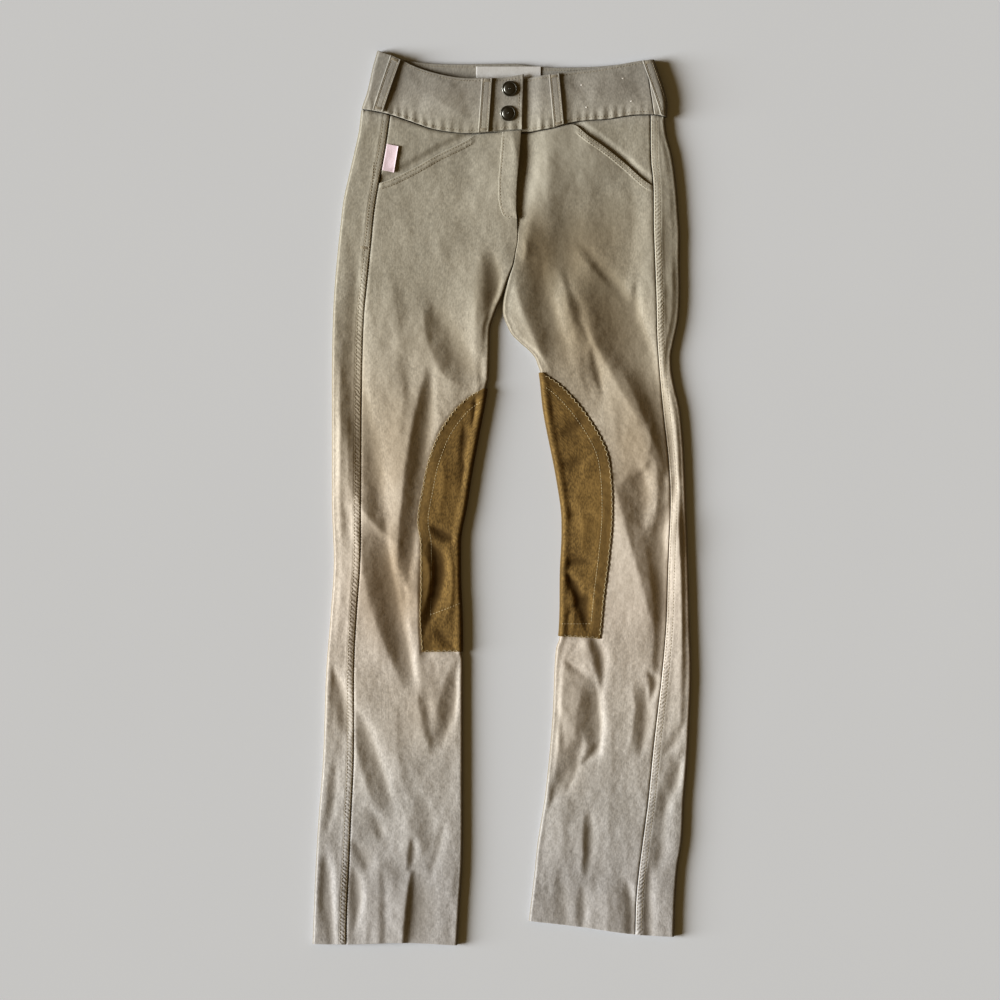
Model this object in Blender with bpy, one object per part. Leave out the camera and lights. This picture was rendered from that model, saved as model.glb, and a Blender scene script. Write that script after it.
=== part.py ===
"""Riding breeches laid flat, front up.

Two front panels and two back panels make the seat and the legs. Each back panel rolls round the outer
edge and comes up onto the front as far as the side seam, where it is lapped and stitched. A waistband
with a snap tab, belt loops, slanted pockets, a fly placket and suede knee patches are sewn on.

Places are given in millimetres as a maker reads them off the flat garment: "down" is the distance
below the top of the waistband, x runs across with the wearer's left at +x, and heights are above the
surface that the breeches lie on. The side called right is the wearer's right, at -x.
"""

import math
from collections import namedtuple

import bmesh
import bpy
import numpy as np

MM = 0.001

# Driving dimensions, in millimetres.
LENGTH = 947.5          # top of the waistband to the lower hem
WALL = 1.2              # stretch twill
BAND_WALL = 1.8         # waistband, two layers of twill
SUEDE = 1.3             # knee patches
TAPE = 0.8              # labels
SEAM_GAP = 0.4          # between two panels at a seam
UNDER_SLACK = 0.6       # more at the waistband seam under the garment, whose pieces have few columns
REST_GAP = 0.3          # between a panel and what is sewn on it
LAP_WIDTH = 8.0         # turned edge of the back panel along the side seam
LAP_RISE = 0.6
LAP_SHARE = 0.6         # most of the strip beside the seam that the lap may take up
LAP_STEP = 0.18         # width of the step down beside the lap, as a share of the lap
EDGE_BAND = 7.0         # length of cloth at each inner edge that its roll takes up
FRONT_FLOOR = 2.9       # least height of the front above the surface, at the bottom of a fold
POCKET_DROP = 2.1       # the facing lies this much lower under the pocket edge
POCKET_OVERLAP = 9.0
POCKET_GAPE = 0.9       # the pocket edge stands open by this much at its middle
POCKET_FADE = 22.0      # and closes over this length at each end
POCKET_SLOPE = (13.0, 4.0)  # the facing sinks between these two places above the pocket edge
FACING_PAST = 6.5       # the facing runs on past the inner end of the pocket edge
UNDERLAP = 10.0         # the left front runs on under the fly
UNDERLAP_END = 9.0      # and the underlap narrows to nothing over this length
FLY_DROP = 2.0
FLY_END = 166.0         # down, where the underlap ends
FLY_RISE = (8.0, 30.0)  # below that, the left front rises again: start, and length of the rise
FLY_SIDE = (2.0, 12.0)  # and the same across it, beside the fly
CROTCH = (205.0, 272.0)  # down, where the inner edges start and finish turning over
BLEND = 200.0           # the rows of a panel lose the slope of its top edge over this length
FOLD_FADE = 8.0         # folds die away over this width beside a rolled edge
PATCH_TURN = 35.0       # degrees that a knee patch runs on past the panel's end, round the inner edge
PATCH_EASE = 9.0        # the inner edge is drawn in over this length at each end of a patch
SNAP_RADIUS = 8.2
SNAP_HEIGHT = 2.6
SNAP_RIM = [(0.0, 0.0), (0.0, 0.9), (0.5, 1.5), (1.4, 1.6)]     # inset from the radius, height
SNAP_DOME = 0.72        # radius of the dome, as a share of the cap's
SNAP_SIDES = 28
BAND_HEIGHT = 7.5       # outside of the front waistband above the surface
TAB_UNDERLAP = -8.0     # x where the left front waistband starts, under the snap tab
TAB_GAP = 0.6           # between the tab and the waistband under it
TAB_CLEAR = (25.0, 18.0)    # x where the left waistband starts to rise from under the tab, and its length
LOOP_WIDTH = 11.6
LOOP_THICK = 1.5
LOOP_BOW = 0.9          # a belt loop stands off the waistband by this much at its middle
PLACKET_THICK = 1.0
SNAP_UPPER = (8.3, 41.0)                    # x and down of each snap cap
SNAP_LOWER = (6.6, 67.0)
NECK_LABEL = (-27.0, 41.5, 17.0, 37.0)      # left, right, upper and lower edges

Fold = namedtuple("Fold", "x0 d0 x1 d1 x2 d2 width height")
Loop = namedtuple("Loop", "name way x_top x_end")

# Outer edge, side seam and inner edge of each half, one row for each section.
OUTER_RIGHT = [
    (0, -131.8), (17, -136.5), (45, -142.9), (61, -148.2), (85, -151.4), (114, -157.7), (137, -163.0),
    (159, -167.8), (181, -170.4), (211, -173.6), (262, -177.9), (306, -179.5), (370, -180.0),
    (476, -180.0), (540, -177.9), (594, -181.0), (654, -185.8), (752, -189.5), (815, -194.3),
    (870, -197.5), (947, -200.6),
]
SEAM_RIGHT = [
    (66, -118.0), (99, -122.7), (129, -128.0), (169, -134.9), (201, -138.1), (238, -141.8),
    (281, -146.1), (369, -148.6), (476, -149.2), (540, -149.8), (594, -153.5), (641, -156.2),
    (752, -156.9), (815, -159.8), (858, -161.5), (913, -164.1), (947, -164.6),
]
INNER_RIGHT = [
    (80, 21.2), (113, 18.8), (141, 16.3), (167, 15.6), (179, 16.6), (197, 17.0), (214, 14.5),
    (227, 11.9), (238, 8.1), (259, 1.3), (273, -5.1), (284, -9.3), (293, -12.0), (308, -12.7),
    (338, -13.6), (356, -14.6), (404, -23.1), (444, -30.5), (481, -36.3), (523, -43.2),
    (566, -42.9), (598, -41.4), (688, -41.1), (814, -41.1), (864, -41.8), (895, -43.8), (948, -47.0),
]
OUTER_LEFT = [
    (10, 160.3), (37, 168.8), (59, 173.0), (69, 172.8), (89, 174.7), (111, 180.4), (137, 184.3),
    (174, 187.3), (195, 188.6), (222, 188.4), (253, 188.9), (285, 187.2), (308, 182.5), (325, 179.6),
    (340, 180.4), (357, 183.6), (378, 188.5), (412, 192.1), (455, 194.2), (518, 196.3), (561, 197.9),
    (603, 199.0), (660, 200.6), (705, 199.0), (757, 196.3), (794, 193.1), (836, 191.0), (867, 186.2),
    (903, 183.6), (938, 182.5),
]
SEAM_LEFT = [
    (66, 157.4), (120, 158.2), (136, 160.0), (190, 160.8), (232, 162.4), (264, 163.5), (306, 164.5),
    (349, 167.7), (391, 172.0), (434, 176.6), (476, 178.6), (518, 177.0), (561, 175.5), (603, 174.2),
    (635, 171.9), (667, 168.8), (704, 164.5), (741, 160.3), (794, 155.0), (836, 149.5), (867, 145.4),
    (898, 142.3), (940, 141.0),
]
INNER_LEFT = [
    (80, 21.2), (113, 18.8), (141, 16.3), (167, 15.6), (179, 16.6), (197, 17.0), (214, 14.5),
    (227, 11.9), (238, 8.1), (250, 4.6), (262, 1.9), (274, 0.8), (282, 1.8), (290, 5.0), (301, 10.8),
    (310, 19.9), (318, 29.0), (326, 35.4), (338, 38.4), (382, 43.7), (450, 56.9), (490, 62.8),
    (512, 63.2), (550, 61.5), (616, 60.0), (638, 56.8), (705, 53.6), (787, 45.8), (842, 37.3),
    (873, 34.1), (921, 28.4),
]

# Lower edge of the waistband over the front and round the back, and the upper edges of its pieces.
BAND_SEAM = [
    (-148.5, 62.0), (-126, 66.0), (-118, 68.0), (-91.5, 77.0), (-74, 83.0), (-54, 86.5), (-34, 88.0),
    (-13.6, 86.8), (0, 86.4), (21, 86.6), (30, 86.4), (40.5, 84.5), (55, 82.0), (72, 77.0),
    (93.5, 74.0), (110.5, 73.0), (137, 68.8), (158, 68.0), (166, 68.5), (173, 70.5),
]
BACK_SEAM = [
    (-148.5, 62.0), (-126, 66.0), (-118, 68.0), (-60, 77.0), (20, 80.0), (90, 76.5), (137, 70.0),
    (158, 68.0), (166, 68.5), (173, 70.5),
]
BACK_FLAT = (-115.0, 150.0)     # x between which that seam lies under the garment
TAB_SEAM = [(-35, 88.0), (-13.6, 86.5), (0, 85.0), (22, 84.0)]
BAND_TOP_BACK = [
    (-132, 0.0), (-117, 5.2), (-103, 9.6), (-82, 13.0), (-44, 14.6), (14, 14.0), (30, 16.4), (62, 18.0),
    (94, 17.4), (115, 15.8), (148, 11.0), (161, 9.6),
]
BAND_TOP_RIGHT = [
    (-132, 0.5), (-117, 5.4), (-107, 9.8), (-95, 15.6), (-82, 20.6), (-62, 26.0), (-44, 29.0),
    (-2, 29.2), (23, 25.4),
]
BAND_TOP_LEFT = [
    (-10, 31.2), (23.5, 30.2), (40.5, 27.0), (62, 24.0), (78, 22.0), (102, 19.0), (125, 15.0),
    (148, 11.0), (161, 9.6),
]
BAND_JOIN_RIGHT = [(0, -110.5), (67, -130.6)]
BAND_JOIN_LEFT = [(8, 152.5), (69, 161.0)]
TAB_EDGE = [(24, 23.2), (86, 21.4)]

# Slanted pocket edges, from the side seam up to the waistband.
POCKET_RIGHT = [(-131, 141.0), (-117.4, 136.5), (-90, 123.0), (-69, 111.0), (-39.5, 96.5), (-28.5, 90.0)]
POCKET_LEFT = [
    (77, 78.5), (91, 91.0), (107, 100.0), (122.5, 113.0), (135, 124.0), (143, 132.0), (153.4, 140.0),
    (160, 143.4),
]

# Upper edges of the front panels: the pocket edge, then the waistband seam.
FRONT_TOP_RIGHT = POCKET_RIGHT + [(-20, 88.0), (-8, 87.0), (22, 84.6)]
FRONT_TOP_LEFT = [(4, 87.4), (30, 87.0), (40.5, 85.1), (55, 82.6), (72, 77.9)] + POCKET_LEFT

# Knee patch outlines over the front, from the inner edge round to the inner edge, as (x, down).
PATCH_RIGHT = [
    (-2, 351), (-14.6, 356), (-34, 366), (-58, 391), (-76.5, 430), (-85, 468), (-89.5, 498),
    (-86, 525), (-86, 566), (-87, 598), (-84.6, 637), (-44, 636.5), (-30, 636.5),
]
PATCH_LEFT = [
    (26, 333), (38.4, 339), (57, 350), (78.7, 371), (97.7, 397), (111, 423), (116.6, 456),
    (117.6, 490), (114.3, 533), (109, 577), (104.5, 623), (59, 620), (46, 619),
]

# Fly placket outline, stitched in a J to the right front.
PLACKET = [
    (0.6, 80.0), (-1.4, 113.0), (-3.4, 141.0), (-3.0, 160.0), (-0.8, 169.5), (3.0, 176.0),
    (8.5, 178.6), (22.0, 178.8), (26.0, 80.0),
]
SIDE_LABEL = [(-121.6, 99.0), (-109.4, 101.5), (-114.2, 129.5), (-126.6, 127.0)]

# Height of the outside of the front above the surface, before its folds.
LOFT = [(60, 6.4), (120, 6.4), (220, 6.1), (330, 5.8), (640, 5.8), (800, 6.0), (947, 6.0)]

# Belt loops: centre line from the upper to the lower edge of the waistband.
LOOPS = [
    Loop("belt_loop_side_right", 1.0, -112.1, -131.2),
    Loop("belt_loop_front_right", 1.0, -15.5, -19.4),
    Loop("belt_loop_front_left", -1.0, 55.3, 60.4),
    Loop("belt_loop_side_left", -1.0, 154.2, 173.6),
]

# Largest folds, one row each: a curved line through three places, its half width and its height.
FOLDS_RIGHT = [
    Fold(-80, 348, -93, 420, -102, 530, 8, -6.8),
    Fold(-92, 330, -114, 430, -117, 555, 9, 3.2),
    Fold(-143, 455, -129, 575, -99, 680, 9, -4.6),
    Fold(-122, 540, -110, 630, -86, 700, 8, 1.8),
    Fold(-77, 520, -64, 552, -83, 612, 7, -3.4),
    Fold(-42, 655, -58, 700, -71, 740, 8, -3.0),
    Fold(-86, 684, -78, 712, -70, 740, 6, -2.6),
    Fold(-158, 236, -173, 334, -166, 450, 7, -4.2),
    Fold(-184, 650, -176, 690, -168, 725, 7, -3.0),
    Fold(-77, 268, -60, 318, -20, 356, 8, -4.0),
    Fold(-46, 250, -34, 296, -10, 330, 10, 1.8),
    Fold(-15, 222, -20, 270, -16, 312, 7, -3.8),
    Fold(-93, 860, -98, 900, -104, 955, 6, -2.6),
    Fold(-104, 866, -109, 905, -114, 955, 6, 1.8),
    Fold(-157, 862, -160, 890, -161, 930, 6, -2.4),
    Fold(-66, 760, -58, 850, -62, 955, 14, 1.6),
]
FOLDS_LEFT = [
    Fold(38, 145, 41, 180, 40, 214, 9, -3.6),
    Fold(22, 220, 34, 270, 58, 330, 10, -4.8),
    Fold(60, 214, 52, 262, 74, 340, 8, 1.8),
    Fold(72, 208, 104, 236, 134, 274, 7, -2.4),
    Fold(66, 244, 124, 304, 156, 372, 15, -5.6),
    Fold(148, 352, 166, 400, 181, 466, 10, -6.6),
    Fold(84, 318, 118, 376, 148, 448, 12, 2.8),
    Fold(183, 450, 175, 500, 162, 540, 7, -5.0),
    Fold(124, 446, 136, 492, 156, 548, 9, -4.0),
    Fold(158, 505, 166, 590, 162, 676, 10, -6.4),
    Fold(130, 500, 134, 570, 146, 650, 9, 1.8),
    Fold(97, 610, 106, 640, 108, 672, 7, -2.8),
    Fold(88, 655, 97, 706, 84, 762, 9, -3.8),
    Fold(92, 806, 90, 838, 88, 866, 6, -2.2),
    Fold(133, 880, 133, 908, 133, 944, 6, -2.0),
    Fold(112, 700, 106, 800, 104, 940, 16, 1.6),
]

# Hem lines, as (x, down).
HEM_RIGHT = [(-201, 946.0), (-161, 946.4), (-108, 944.8), (-46, 947.4)]
HEM_LEFT = [(28, 921.5), (84, 928.0), (141, 936.0), (183, 938.5)]

# Row places down a panel as (from, to, rows), and the columns across it.
ROWS = [(82.0, 196.0, 5), (196.0, 340.0, 11), (340.0, 640.0, 12), (640.0, LENGTH, 11)]
FRONT_COLUMNS = 13
STRIP_COLUMNS = 3
ROLL_COLUMNS = 6
UNDER_COLUMNS = 4
EDGE_COLUMNS = 3
WRAP_COLUMNS = 2
BAND_ROWS = 6
BAND_COLUMNS = [2, ROLL_COLUMNS, 10, ROLL_COLUMNS, 1]
TAB_COLUMNS = 10
LOOP_GRID = (12, 9)
FACING_GRID = (6, 9)
LABEL_GRID = (3, 7)
PASSES = 8              # rounds in which a grid settles on its edges

Half = namedtuple("Half", "way outer seam inner folds front_top pocket patch hem")
RIGHT = Half(1.0, OUTER_RIGHT, SEAM_RIGHT, INNER_RIGHT, FOLDS_RIGHT, FRONT_TOP_RIGHT, POCKET_RIGHT,
             PATCH_RIGHT, HEM_RIGHT)
LEFT = Half(-1.0, OUTER_LEFT, SEAM_LEFT, INNER_LEFT, FOLDS_LEFT, FRONT_TOP_LEFT, POCKET_LEFT,
            PATCH_LEFT, HEM_LEFT)


# ---------------------------------------------------------------- curves and heights

def smooth_step(t):
    """0 up to t = 0, 1 from t = 1, and a smooth rise between."""
    t = np.clip(t, 0.0, 1.0)
    return t * t * (3.0 - 2.0 * t)


def unit_grid(rows, columns):
    """Grids of v, from 0 to 1 down the rows, and u, from 0 to 1 across the columns."""
    return np.meshgrid(np.linspace(0.0, 1.0, rows), np.linspace(0.0, 1.0, columns), indexing="ij")


def through(table, at):
    """A smooth curve through the rows of a table, with no overshoot between them."""
    keys = np.array([row[0] for row in table], dtype=float)
    values = np.array([row[1] for row in table], dtype=float)
    step = np.diff(keys)
    slope = np.diff(values) / step
    tangent = np.concatenate(([slope[0]], 0.5 * (slope[1:] + slope[:-1]), [slope[-1]]))
    tangent[1:-1][slope[1:] * slope[:-1] <= 0.0] = 0.0
    at = np.asarray(at, dtype=float)
    inside = np.clip(at, keys[0], keys[-1])
    k = np.clip(np.searchsorted(keys, inside, side="right") - 1, 0, len(step) - 1)
    t = (inside - keys[k]) / step[k]
    curve = values[k] + (values[k + 1] - values[k]) * t * t * (3.0 - 2.0 * t)
    curve += step[k] * t * (1.0 - t) * (tangent[k] * (1.0 - t) - tangent[k + 1] * t)
    return curve + (at - inside) * np.where(at < inside, tangent[0], tangent[-1])


def fold_height(fold, x, down):
    """Height that one fold adds: a soft bump across its line that dies away at both ends."""
    t = np.linspace(0.0, 1.0, 33)
    bend = 4.0 * t * (1.0 - t)
    line_x = fold.x0 + (fold.x2 - fold.x0) * t + (fold.x1 - 0.5 * (fold.x0 + fold.x2)) * bend
    line_d = fold.d0 + (fold.d2 - fold.d0) * t + (fold.d1 - 0.5 * (fold.d0 + fold.d2)) * bend
    away = (x[..., None] - line_x) ** 2 + (down[..., None] - line_d) ** 2
    nearest = np.argmin(away, axis=-1)
    strength = np.sin(math.pi * np.clip(t[nearest], 0.02, 0.98)) ** 0.7
    return fold.height * strength * np.exp(-np.min(away, axis=-1) / fold.width ** 2)


def edge_radius(down):
    """Radius of the rolled outer and inner edges: half the loft."""
    return 0.5 * through(LOFT, down)


def turn_angle(down):
    """How far an inner edge turns over: nothing in the seat, a quarter turn down the leg."""
    return 0.5 * math.pi * smooth_step((down - CROTCH[0]) / (CROTCH[1] - CROTCH[0]))


def inner_edge(half, down):
    """Inner edge of the half, drawn in where the knee patch lies outside it."""
    first = half.patch[1][1]
    last = half.patch[-2][1]
    starts = smooth_step((down - first) / PATCH_EASE + 1.0)
    ends = smooth_step((last - down) / PATCH_EASE + 1.0)
    return through(half.inner, down) - half.way * (REST_GAP + SUEDE) * starts * ends


def front_height(half, x, down):
    """Height of the outside of the front: the loft, and folds that fade out at the rolled edges."""
    loft = through(LOFT, down)
    radius = 0.5 * loft
    from_outer = np.abs(through(half.outer, down) - x) - radius
    from_inner = np.abs(inner_edge(half, down) - x) - radius
    turning = smooth_step((down - CROTCH[0]) / (CROTCH[1] - CROTCH[0]))
    fade = 1.0 - turning * (1.0 - smooth_step(from_inner / FOLD_FADE))
    fade = fade * smooth_step(from_outer / FOLD_FADE)
    folds = fade * sum(fold_height(fold, x, down) for fold in half.folds)
    room = loft - FRONT_FLOOR
    folds = np.where(folds < 0.0, -room * np.tanh(-folds / room), folds)
    return loft + folds - fly_drop(half, x, down)


def fly_drop(half, x, down):
    """How much lower the left front lies where it runs under the fly."""
    if half.way > 0.0:
        return np.zeros_like(x)
    past = x - through(INNER_RIGHT, down)
    along = smooth_step((down - FLY_END - FLY_RISE[0]) / FLY_RISE[1])
    return FLY_DROP * (1.0 - along) * (1.0 - smooth_step((past - FLY_SIDE[0]) / FLY_SIDE[1]))


# ---------------------------------------------------------------- paths round a half

def columns_along(lengths, counts):
    """Place of each column along a path made of stretches, each cut into its count of columns."""
    column = np.arange(sum(counts) + 1)
    place = 0.0
    first = 0
    for length, count in zip(lengths, counts):
        place = place + length * np.clip((column - first) / count, 0.0, 1.0)
        first += count
    return place


def front_path(half, down, wrap):
    """Front panel at the places down: across from the side seam, then over the inner edge.

    Each point is at its place along the cloth. Flat stretches take the front's height, and the inner
    edge is an arc through turn_angle. wrap carries the arc on past the panel's end, for a patch.
    """
    way = half.way
    radius = edge_radius(down)
    angle = turn_angle(down)
    start = through(half.seam, down) + way * 0.5 * SEAM_GAP
    underlap = UNDERLAP * (1.0 - smooth_step((down - FLY_END) / UNDERLAP_END)) if way < 0.0 else 0.0
    edge = inner_edge(half, down) + way * (underlap - 0.5 * SEAM_GAP * np.cos(angle))
    flat_end = edge - way * radius * np.sin(angle)
    flat = way * (flat_end - start)
    total = flat + radius * angle - 0.5 * SEAM_GAP * np.sin(angle)
    lengths = [total - EDGE_BAND, np.full_like(down, EDGE_BAND)]
    counts = [FRONT_COLUMNS, EDGE_COLUMNS]
    if wrap > 0.0:
        lengths.append(wrap * radius)
        counts.append(WRAP_COLUMNS)
    place = columns_along(lengths, counts)
    turned = np.maximum(place - flat, 0.0) / radius
    x = np.where(place > flat, flat_end + way * radius * np.sin(turned), start + way * place)
    height = front_height(half, np.where(place > flat, flat_end, x), down)
    return x, height - radius * (1.0 - np.cos(turned))


def back_path(half, down):
    """Back panel at the places down: from the side seam outwards, round the outer edge, and under.

    The lapped edge stands up from the front's height, the roll is half a circle, the underside lies
    at 0, and the inner edge turns up through turn_angle.
    """
    way = half.way
    radius = edge_radius(down)
    angle = turn_angle(down)
    start = through(half.seam, down) - way * 0.5 * SEAM_GAP
    roll_x = through(half.outer, down) + way * radius
    edge = inner_edge(half, down) - way * 0.5 * SEAM_GAP * np.cos(angle)
    flat_end = edge - way * radius * np.sin(angle)
    strip = way * (start - roll_x)
    lap = np.minimum(LAP_WIDTH, LAP_SHARE * strip)
    step = LAP_STEP * lap
    roll = math.pi * radius
    under = way * (flat_end - roll_x)
    turn = radius * angle - 0.5 * SEAM_GAP * np.sin(angle)
    end_band = np.full_like(down, EDGE_BAND)
    place = columns_along(
        [lap, step, strip - lap - step, roll, under + turn - end_band, end_band],
        [1, 1, STRIP_COLUMNS, ROLL_COLUMNS, UNDER_COLUMNS, EDGE_COLUMNS])
    raised = LAP_RISE * (1.0 - smooth_step((place - lap) / step))
    round_outer = np.clip((place - strip) / radius, 0.0, math.pi)
    round_inner = np.maximum(place - strip - roll - under, 0.0) / radius
    below = np.clip(place - strip - roll, 0.0, under)
    x = start - way * np.minimum(place, strip) - way * radius * np.sin(round_outer)
    x = x + way * below + way * radius * np.sin(round_inner)
    top = front_height(half, np.where(place < strip, x, roll_x), down) + raised
    height = np.where(place < strip, top, radius * (1.0 + np.cos(round_outer)))
    return x, height + radius * (1.0 - np.cos(round_inner))


def grid_of(path, upper, lower, columns):
    """Points (x, down, height) of a panel: rows follow its top edge, level out, and meet the hem."""
    rows = np.concatenate([np.linspace(a, b, n, endpoint=False) for a, b, n in ROWS] + [[LENGTH]])
    nominal = np.repeat(rows[:, None], columns, axis=1)
    level = 1.0 - smooth_step((nominal - rows[0]) / BLEND)
    low = smooth_step((nominal - LENGTH + BLEND) / BLEND)
    down = nominal
    for _ in range(PASSES):
        x = path(down)[0]
        down = nominal + (through(upper, x) - rows[0]) * level + (through(lower, x) - LENGTH) * low
    x, height = path(down)
    return np.stack([x, down, height], axis=-1)


# ---------------------------------------------------------------- solids

def outward(points):
    """Unit normals of a grid of points, pointing out of the garment: up at its first column."""
    cross = np.cross(points[1:, 1:] - points[:-1, :-1], points[1:, :-1] - points[:-1, 1:])
    cross /= np.maximum(np.linalg.norm(cross, axis=-1, keepdims=True), 1e-9)
    total = np.zeros_like(points)
    for rows in (slice(None, -1), slice(1, None)):
        for columns in (slice(None, -1), slice(1, None)):
            total[rows, columns] += cross
    total *= np.sign(total[:, 0, 2].sum())
    return total / np.linalg.norm(total, axis=-1, keepdims=True)


def squared_edges(normals, last):
    """Normals with the rims squared up: plumb at the side seam and ends, and last at the inner edge."""
    normals[:, 0, 0] = 0.0
    normals[:, -1] = last
    normals[0, :, 1] = 0.0
    normals[-1, :, 1] = 0.0
    return normals / np.linalg.norm(normals, axis=-1, keepdims=True)


def new_object(name, verts, faces, material):
    mesh = bpy.data.meshes.new(name)
    mesh.from_pydata(verts, [], faces)
    work = bmesh.new()
    work.from_mesh(mesh)
    bmesh.ops.recalc_face_normals(work, faces=work.faces)
    work.to_mesh(mesh)
    work.free()
    mesh.materials.append(material)
    piece = bpy.data.objects.new(name, mesh)
    bpy.context.scene.collection.objects.link(piece)
    return piece


def placed(points):
    """World places in metres of points given as x, down and height in millimetres."""
    points = np.asarray(points, dtype=float).reshape(-1, 3)
    world = np.stack([points[:, 0], 0.5 * LENGTH - points[:, 1], points[:, 2]], axis=-1)
    return (world * MM).tolist()


def wall(name, outside, inside, material):
    """Closed solid between two grids of the same size, with rims on all four sides."""
    rows, columns = outside.shape[:2]
    number = np.arange(rows * columns).reshape(rows, columns)
    far = number + rows * columns
    faces = []
    for layer in (number, far):
        cells = [layer[:-1, :-1], layer[:-1, 1:], layer[1:, 1:], layer[1:, :-1]]
        faces += np.stack(cells, axis=-1).reshape(-1, 4).tolist()
    for line in ((0, slice(None)), (-1, slice(None)), (slice(None), 0), (slice(None), -1)):
        near_line = number[line]
        far_line = far[line]
        cells = [near_line[:-1], near_line[1:], far_line[1:], far_line[:-1]]
        faces += np.stack(cells, axis=-1).tolist()
    return new_object(name, placed(outside) + placed(inside), faces, material)


def panel(name, points, last, material):
    """Cloth wall under a grid of outside points. Returns the grid's normals."""
    normals = squared_edges(outward(points), last)
    wall(name, points, points - WALL * normals, material)
    return normals


def sewn_on(name, points, normals, outline, thickness, material):
    """A flat piece on a panel: the panel's own points moved out, cut to an outline in plan."""
    near = points + REST_GAP * normals
    piece = wall(name, near + thickness * normals, near, material)
    count = len(outline)
    base = [(x, down, -5.0) for x, down in outline]
    roof = [(x, down, 40.0) for x, down in outline]
    sides = [(k, (k + 1) % count, (k + 1) % count + count, k + count) for k in range(count)]
    ends = [tuple(range(count)), tuple(range(count, 2 * count))]
    cutter = new_object(name + "_outline", placed(base + roof), sides + ends, material)
    cutter.hide_render = True
    cutter.display_type = "WIRE"
    cut = piece.modifiers.new("Outline", "BOOLEAN")
    cut.operation = "INTERSECT"
    cut.solver = "EXACT"
    cut.object = cutter
    return piece


def rounded(outline, closed_from, closed_to, pieces):
    """Outline with the points between two of its rows replaced by a smooth curve through them."""
    run = np.array(outline[closed_from:closed_to + 1], dtype=float)
    t = np.concatenate(([0.0], np.cumsum(np.linalg.norm(np.diff(run, axis=0), axis=1))))
    at = np.linspace(0.0, t[-1], pieces + 1)
    xs = through(list(zip(t, run[:, 0])), at)
    downs = through(list(zip(t, run[:, 1])), at)
    return outline[:closed_from] + list(zip(xs, downs)) + outline[closed_to + 1:]


# ---------------------------------------------------------------- materials

def finish(name, colour, roughness, metallic=0.0):
    material = bpy.data.materials.new(name)
    material.use_nodes = True
    shader = material.node_tree.nodes["Principled BSDF"]
    shader.inputs["Base Color"].default_value = (*colour, 1.0)
    shader.inputs["Roughness"].default_value = roughness
    shader.inputs["Metallic"].default_value = metallic
    return material


# ---------------------------------------------------------------- legs and seat

def make_half(half, side, twill, suede):
    """Front panel, back panel, pocket facing and knee patch of one half."""
    columns = FRONT_COLUMNS + EDGE_COLUMNS + 1
    front = grid_of(lambda down: front_path(half, down, 0.0), half.front_top, half.hem, columns)
    from_ends = np.minimum(front[0, :, 0] - half.pocket[0][0], half.pocket[-1][0] - front[0, :, 0])
    front[0, :, 2] += POCKET_GAPE * smooth_step(from_ends / POCKET_FADE)
    angle = turn_angle(front[:, -1, 1])
    level = np.zeros_like(angle)
    inward = half.way * np.sin(angle)
    normals = panel("front_panel_" + side, front, np.stack([inward, level, np.cos(angle)], -1), twill)

    columns = 2 + STRIP_COLUMNS + ROLL_COLUMNS + UNDER_COLUMNS + EDGE_COLUMNS + 1
    gaps = [SEAM_GAP + (UNDER_SLACK if BACK_FLAT[0] < x < BACK_FLAT[1] else 0.0) for x, _ in BACK_SEAM]
    below_band = [(x, down + gap) for (x, down), gap in zip(BACK_SEAM, gaps)]
    back = grid_of(lambda down: back_path(half, down), below_band, half.hem, columns)
    angle = turn_angle(back[:, -1, 1])
    inward = half.way * np.sin(angle)
    panel("back_panel_" + side, back, np.stack([inward, level, -np.cos(angle)], -1), twill)

    facing = make_facing(half, side, twill)
    make_patch(half, side, front, normals, suede)
    return front, normals, facing


def make_facing(half, side, twill):
    """Pocket facing: fills the corner above the slanted pocket edge and runs on under it."""
    inner_end = half.pocket[-1][0] if half.way > 0.0 else half.pocket[0][0]
    far_end = inner_end + half.way * FACING_PAST
    v, u = unit_grid(*FACING_GRID)
    down = ROWS[0][0] * (1.0 - v) + half.pocket[0][1] * v
    for _ in range(PASSES):
        x = (through(half.seam, down) + half.way * SEAM_GAP) * (1.0 - u) + far_end * u
        upper = through(BAND_SEAM, x) + SEAM_GAP
        down = upper + (through(half.pocket, x) + POCKET_OVERLAP - upper) * v
    above_edge = through(half.pocket, x) - down
    under = smooth_step((POCKET_SLOPE[0] - above_edge) / (POCKET_SLOPE[0] - POCKET_SLOPE[1]))
    height = front_height(half, x, down) - POCKET_DROP * under
    points = np.stack([x, down, height], axis=-1)
    inner = points - np.array([0.0, 0.0, WALL])
    wall("pocket_facing_" + side, points, inner, twill)
    return points


def make_patch(half, side, front, normals, suede):
    """Knee patch: the front's points moved out and wrapped on round the inner edge, cut to outline."""
    spare = 30.0
    turn_on = math.radians(PATCH_TURN)
    columns = FRONT_COLUMNS + EDGE_COLUMNS + WRAP_COLUMNS + 1
    wide = grid_of(lambda down: front_path(half, down, turn_on), half.front_top, half.hem, columns)
    first_column = FRONT_COLUMNS // 4
    middle = wide[:, first_column, 1]
    rows = np.flatnonzero((middle > half.patch[0][1] - spare) & (middle < half.patch[-1][1] + spare))
    kept = slice(rows[0], rows[-1] + 1)
    across = slice(first_column, None)
    turned = outward(wide)
    turned[:, :front.shape[1] - 1] = normals[:, :-1]
    outline = rounded(half.patch, 1, len(half.patch) - 3, 22)
    beyond = half.way * 2.0 * spare
    outline = [(half.patch[0][0] + beyond, half.patch[0][1])] + outline
    outline = outline + [(half.patch[-1][0] + beyond, half.patch[-1][1])]
    sewn_on("knee_patch_" + side, wide[kept, across], turned[kept, across], outline, SUEDE, suede)


# ---------------------------------------------------------------- waistband

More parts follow.
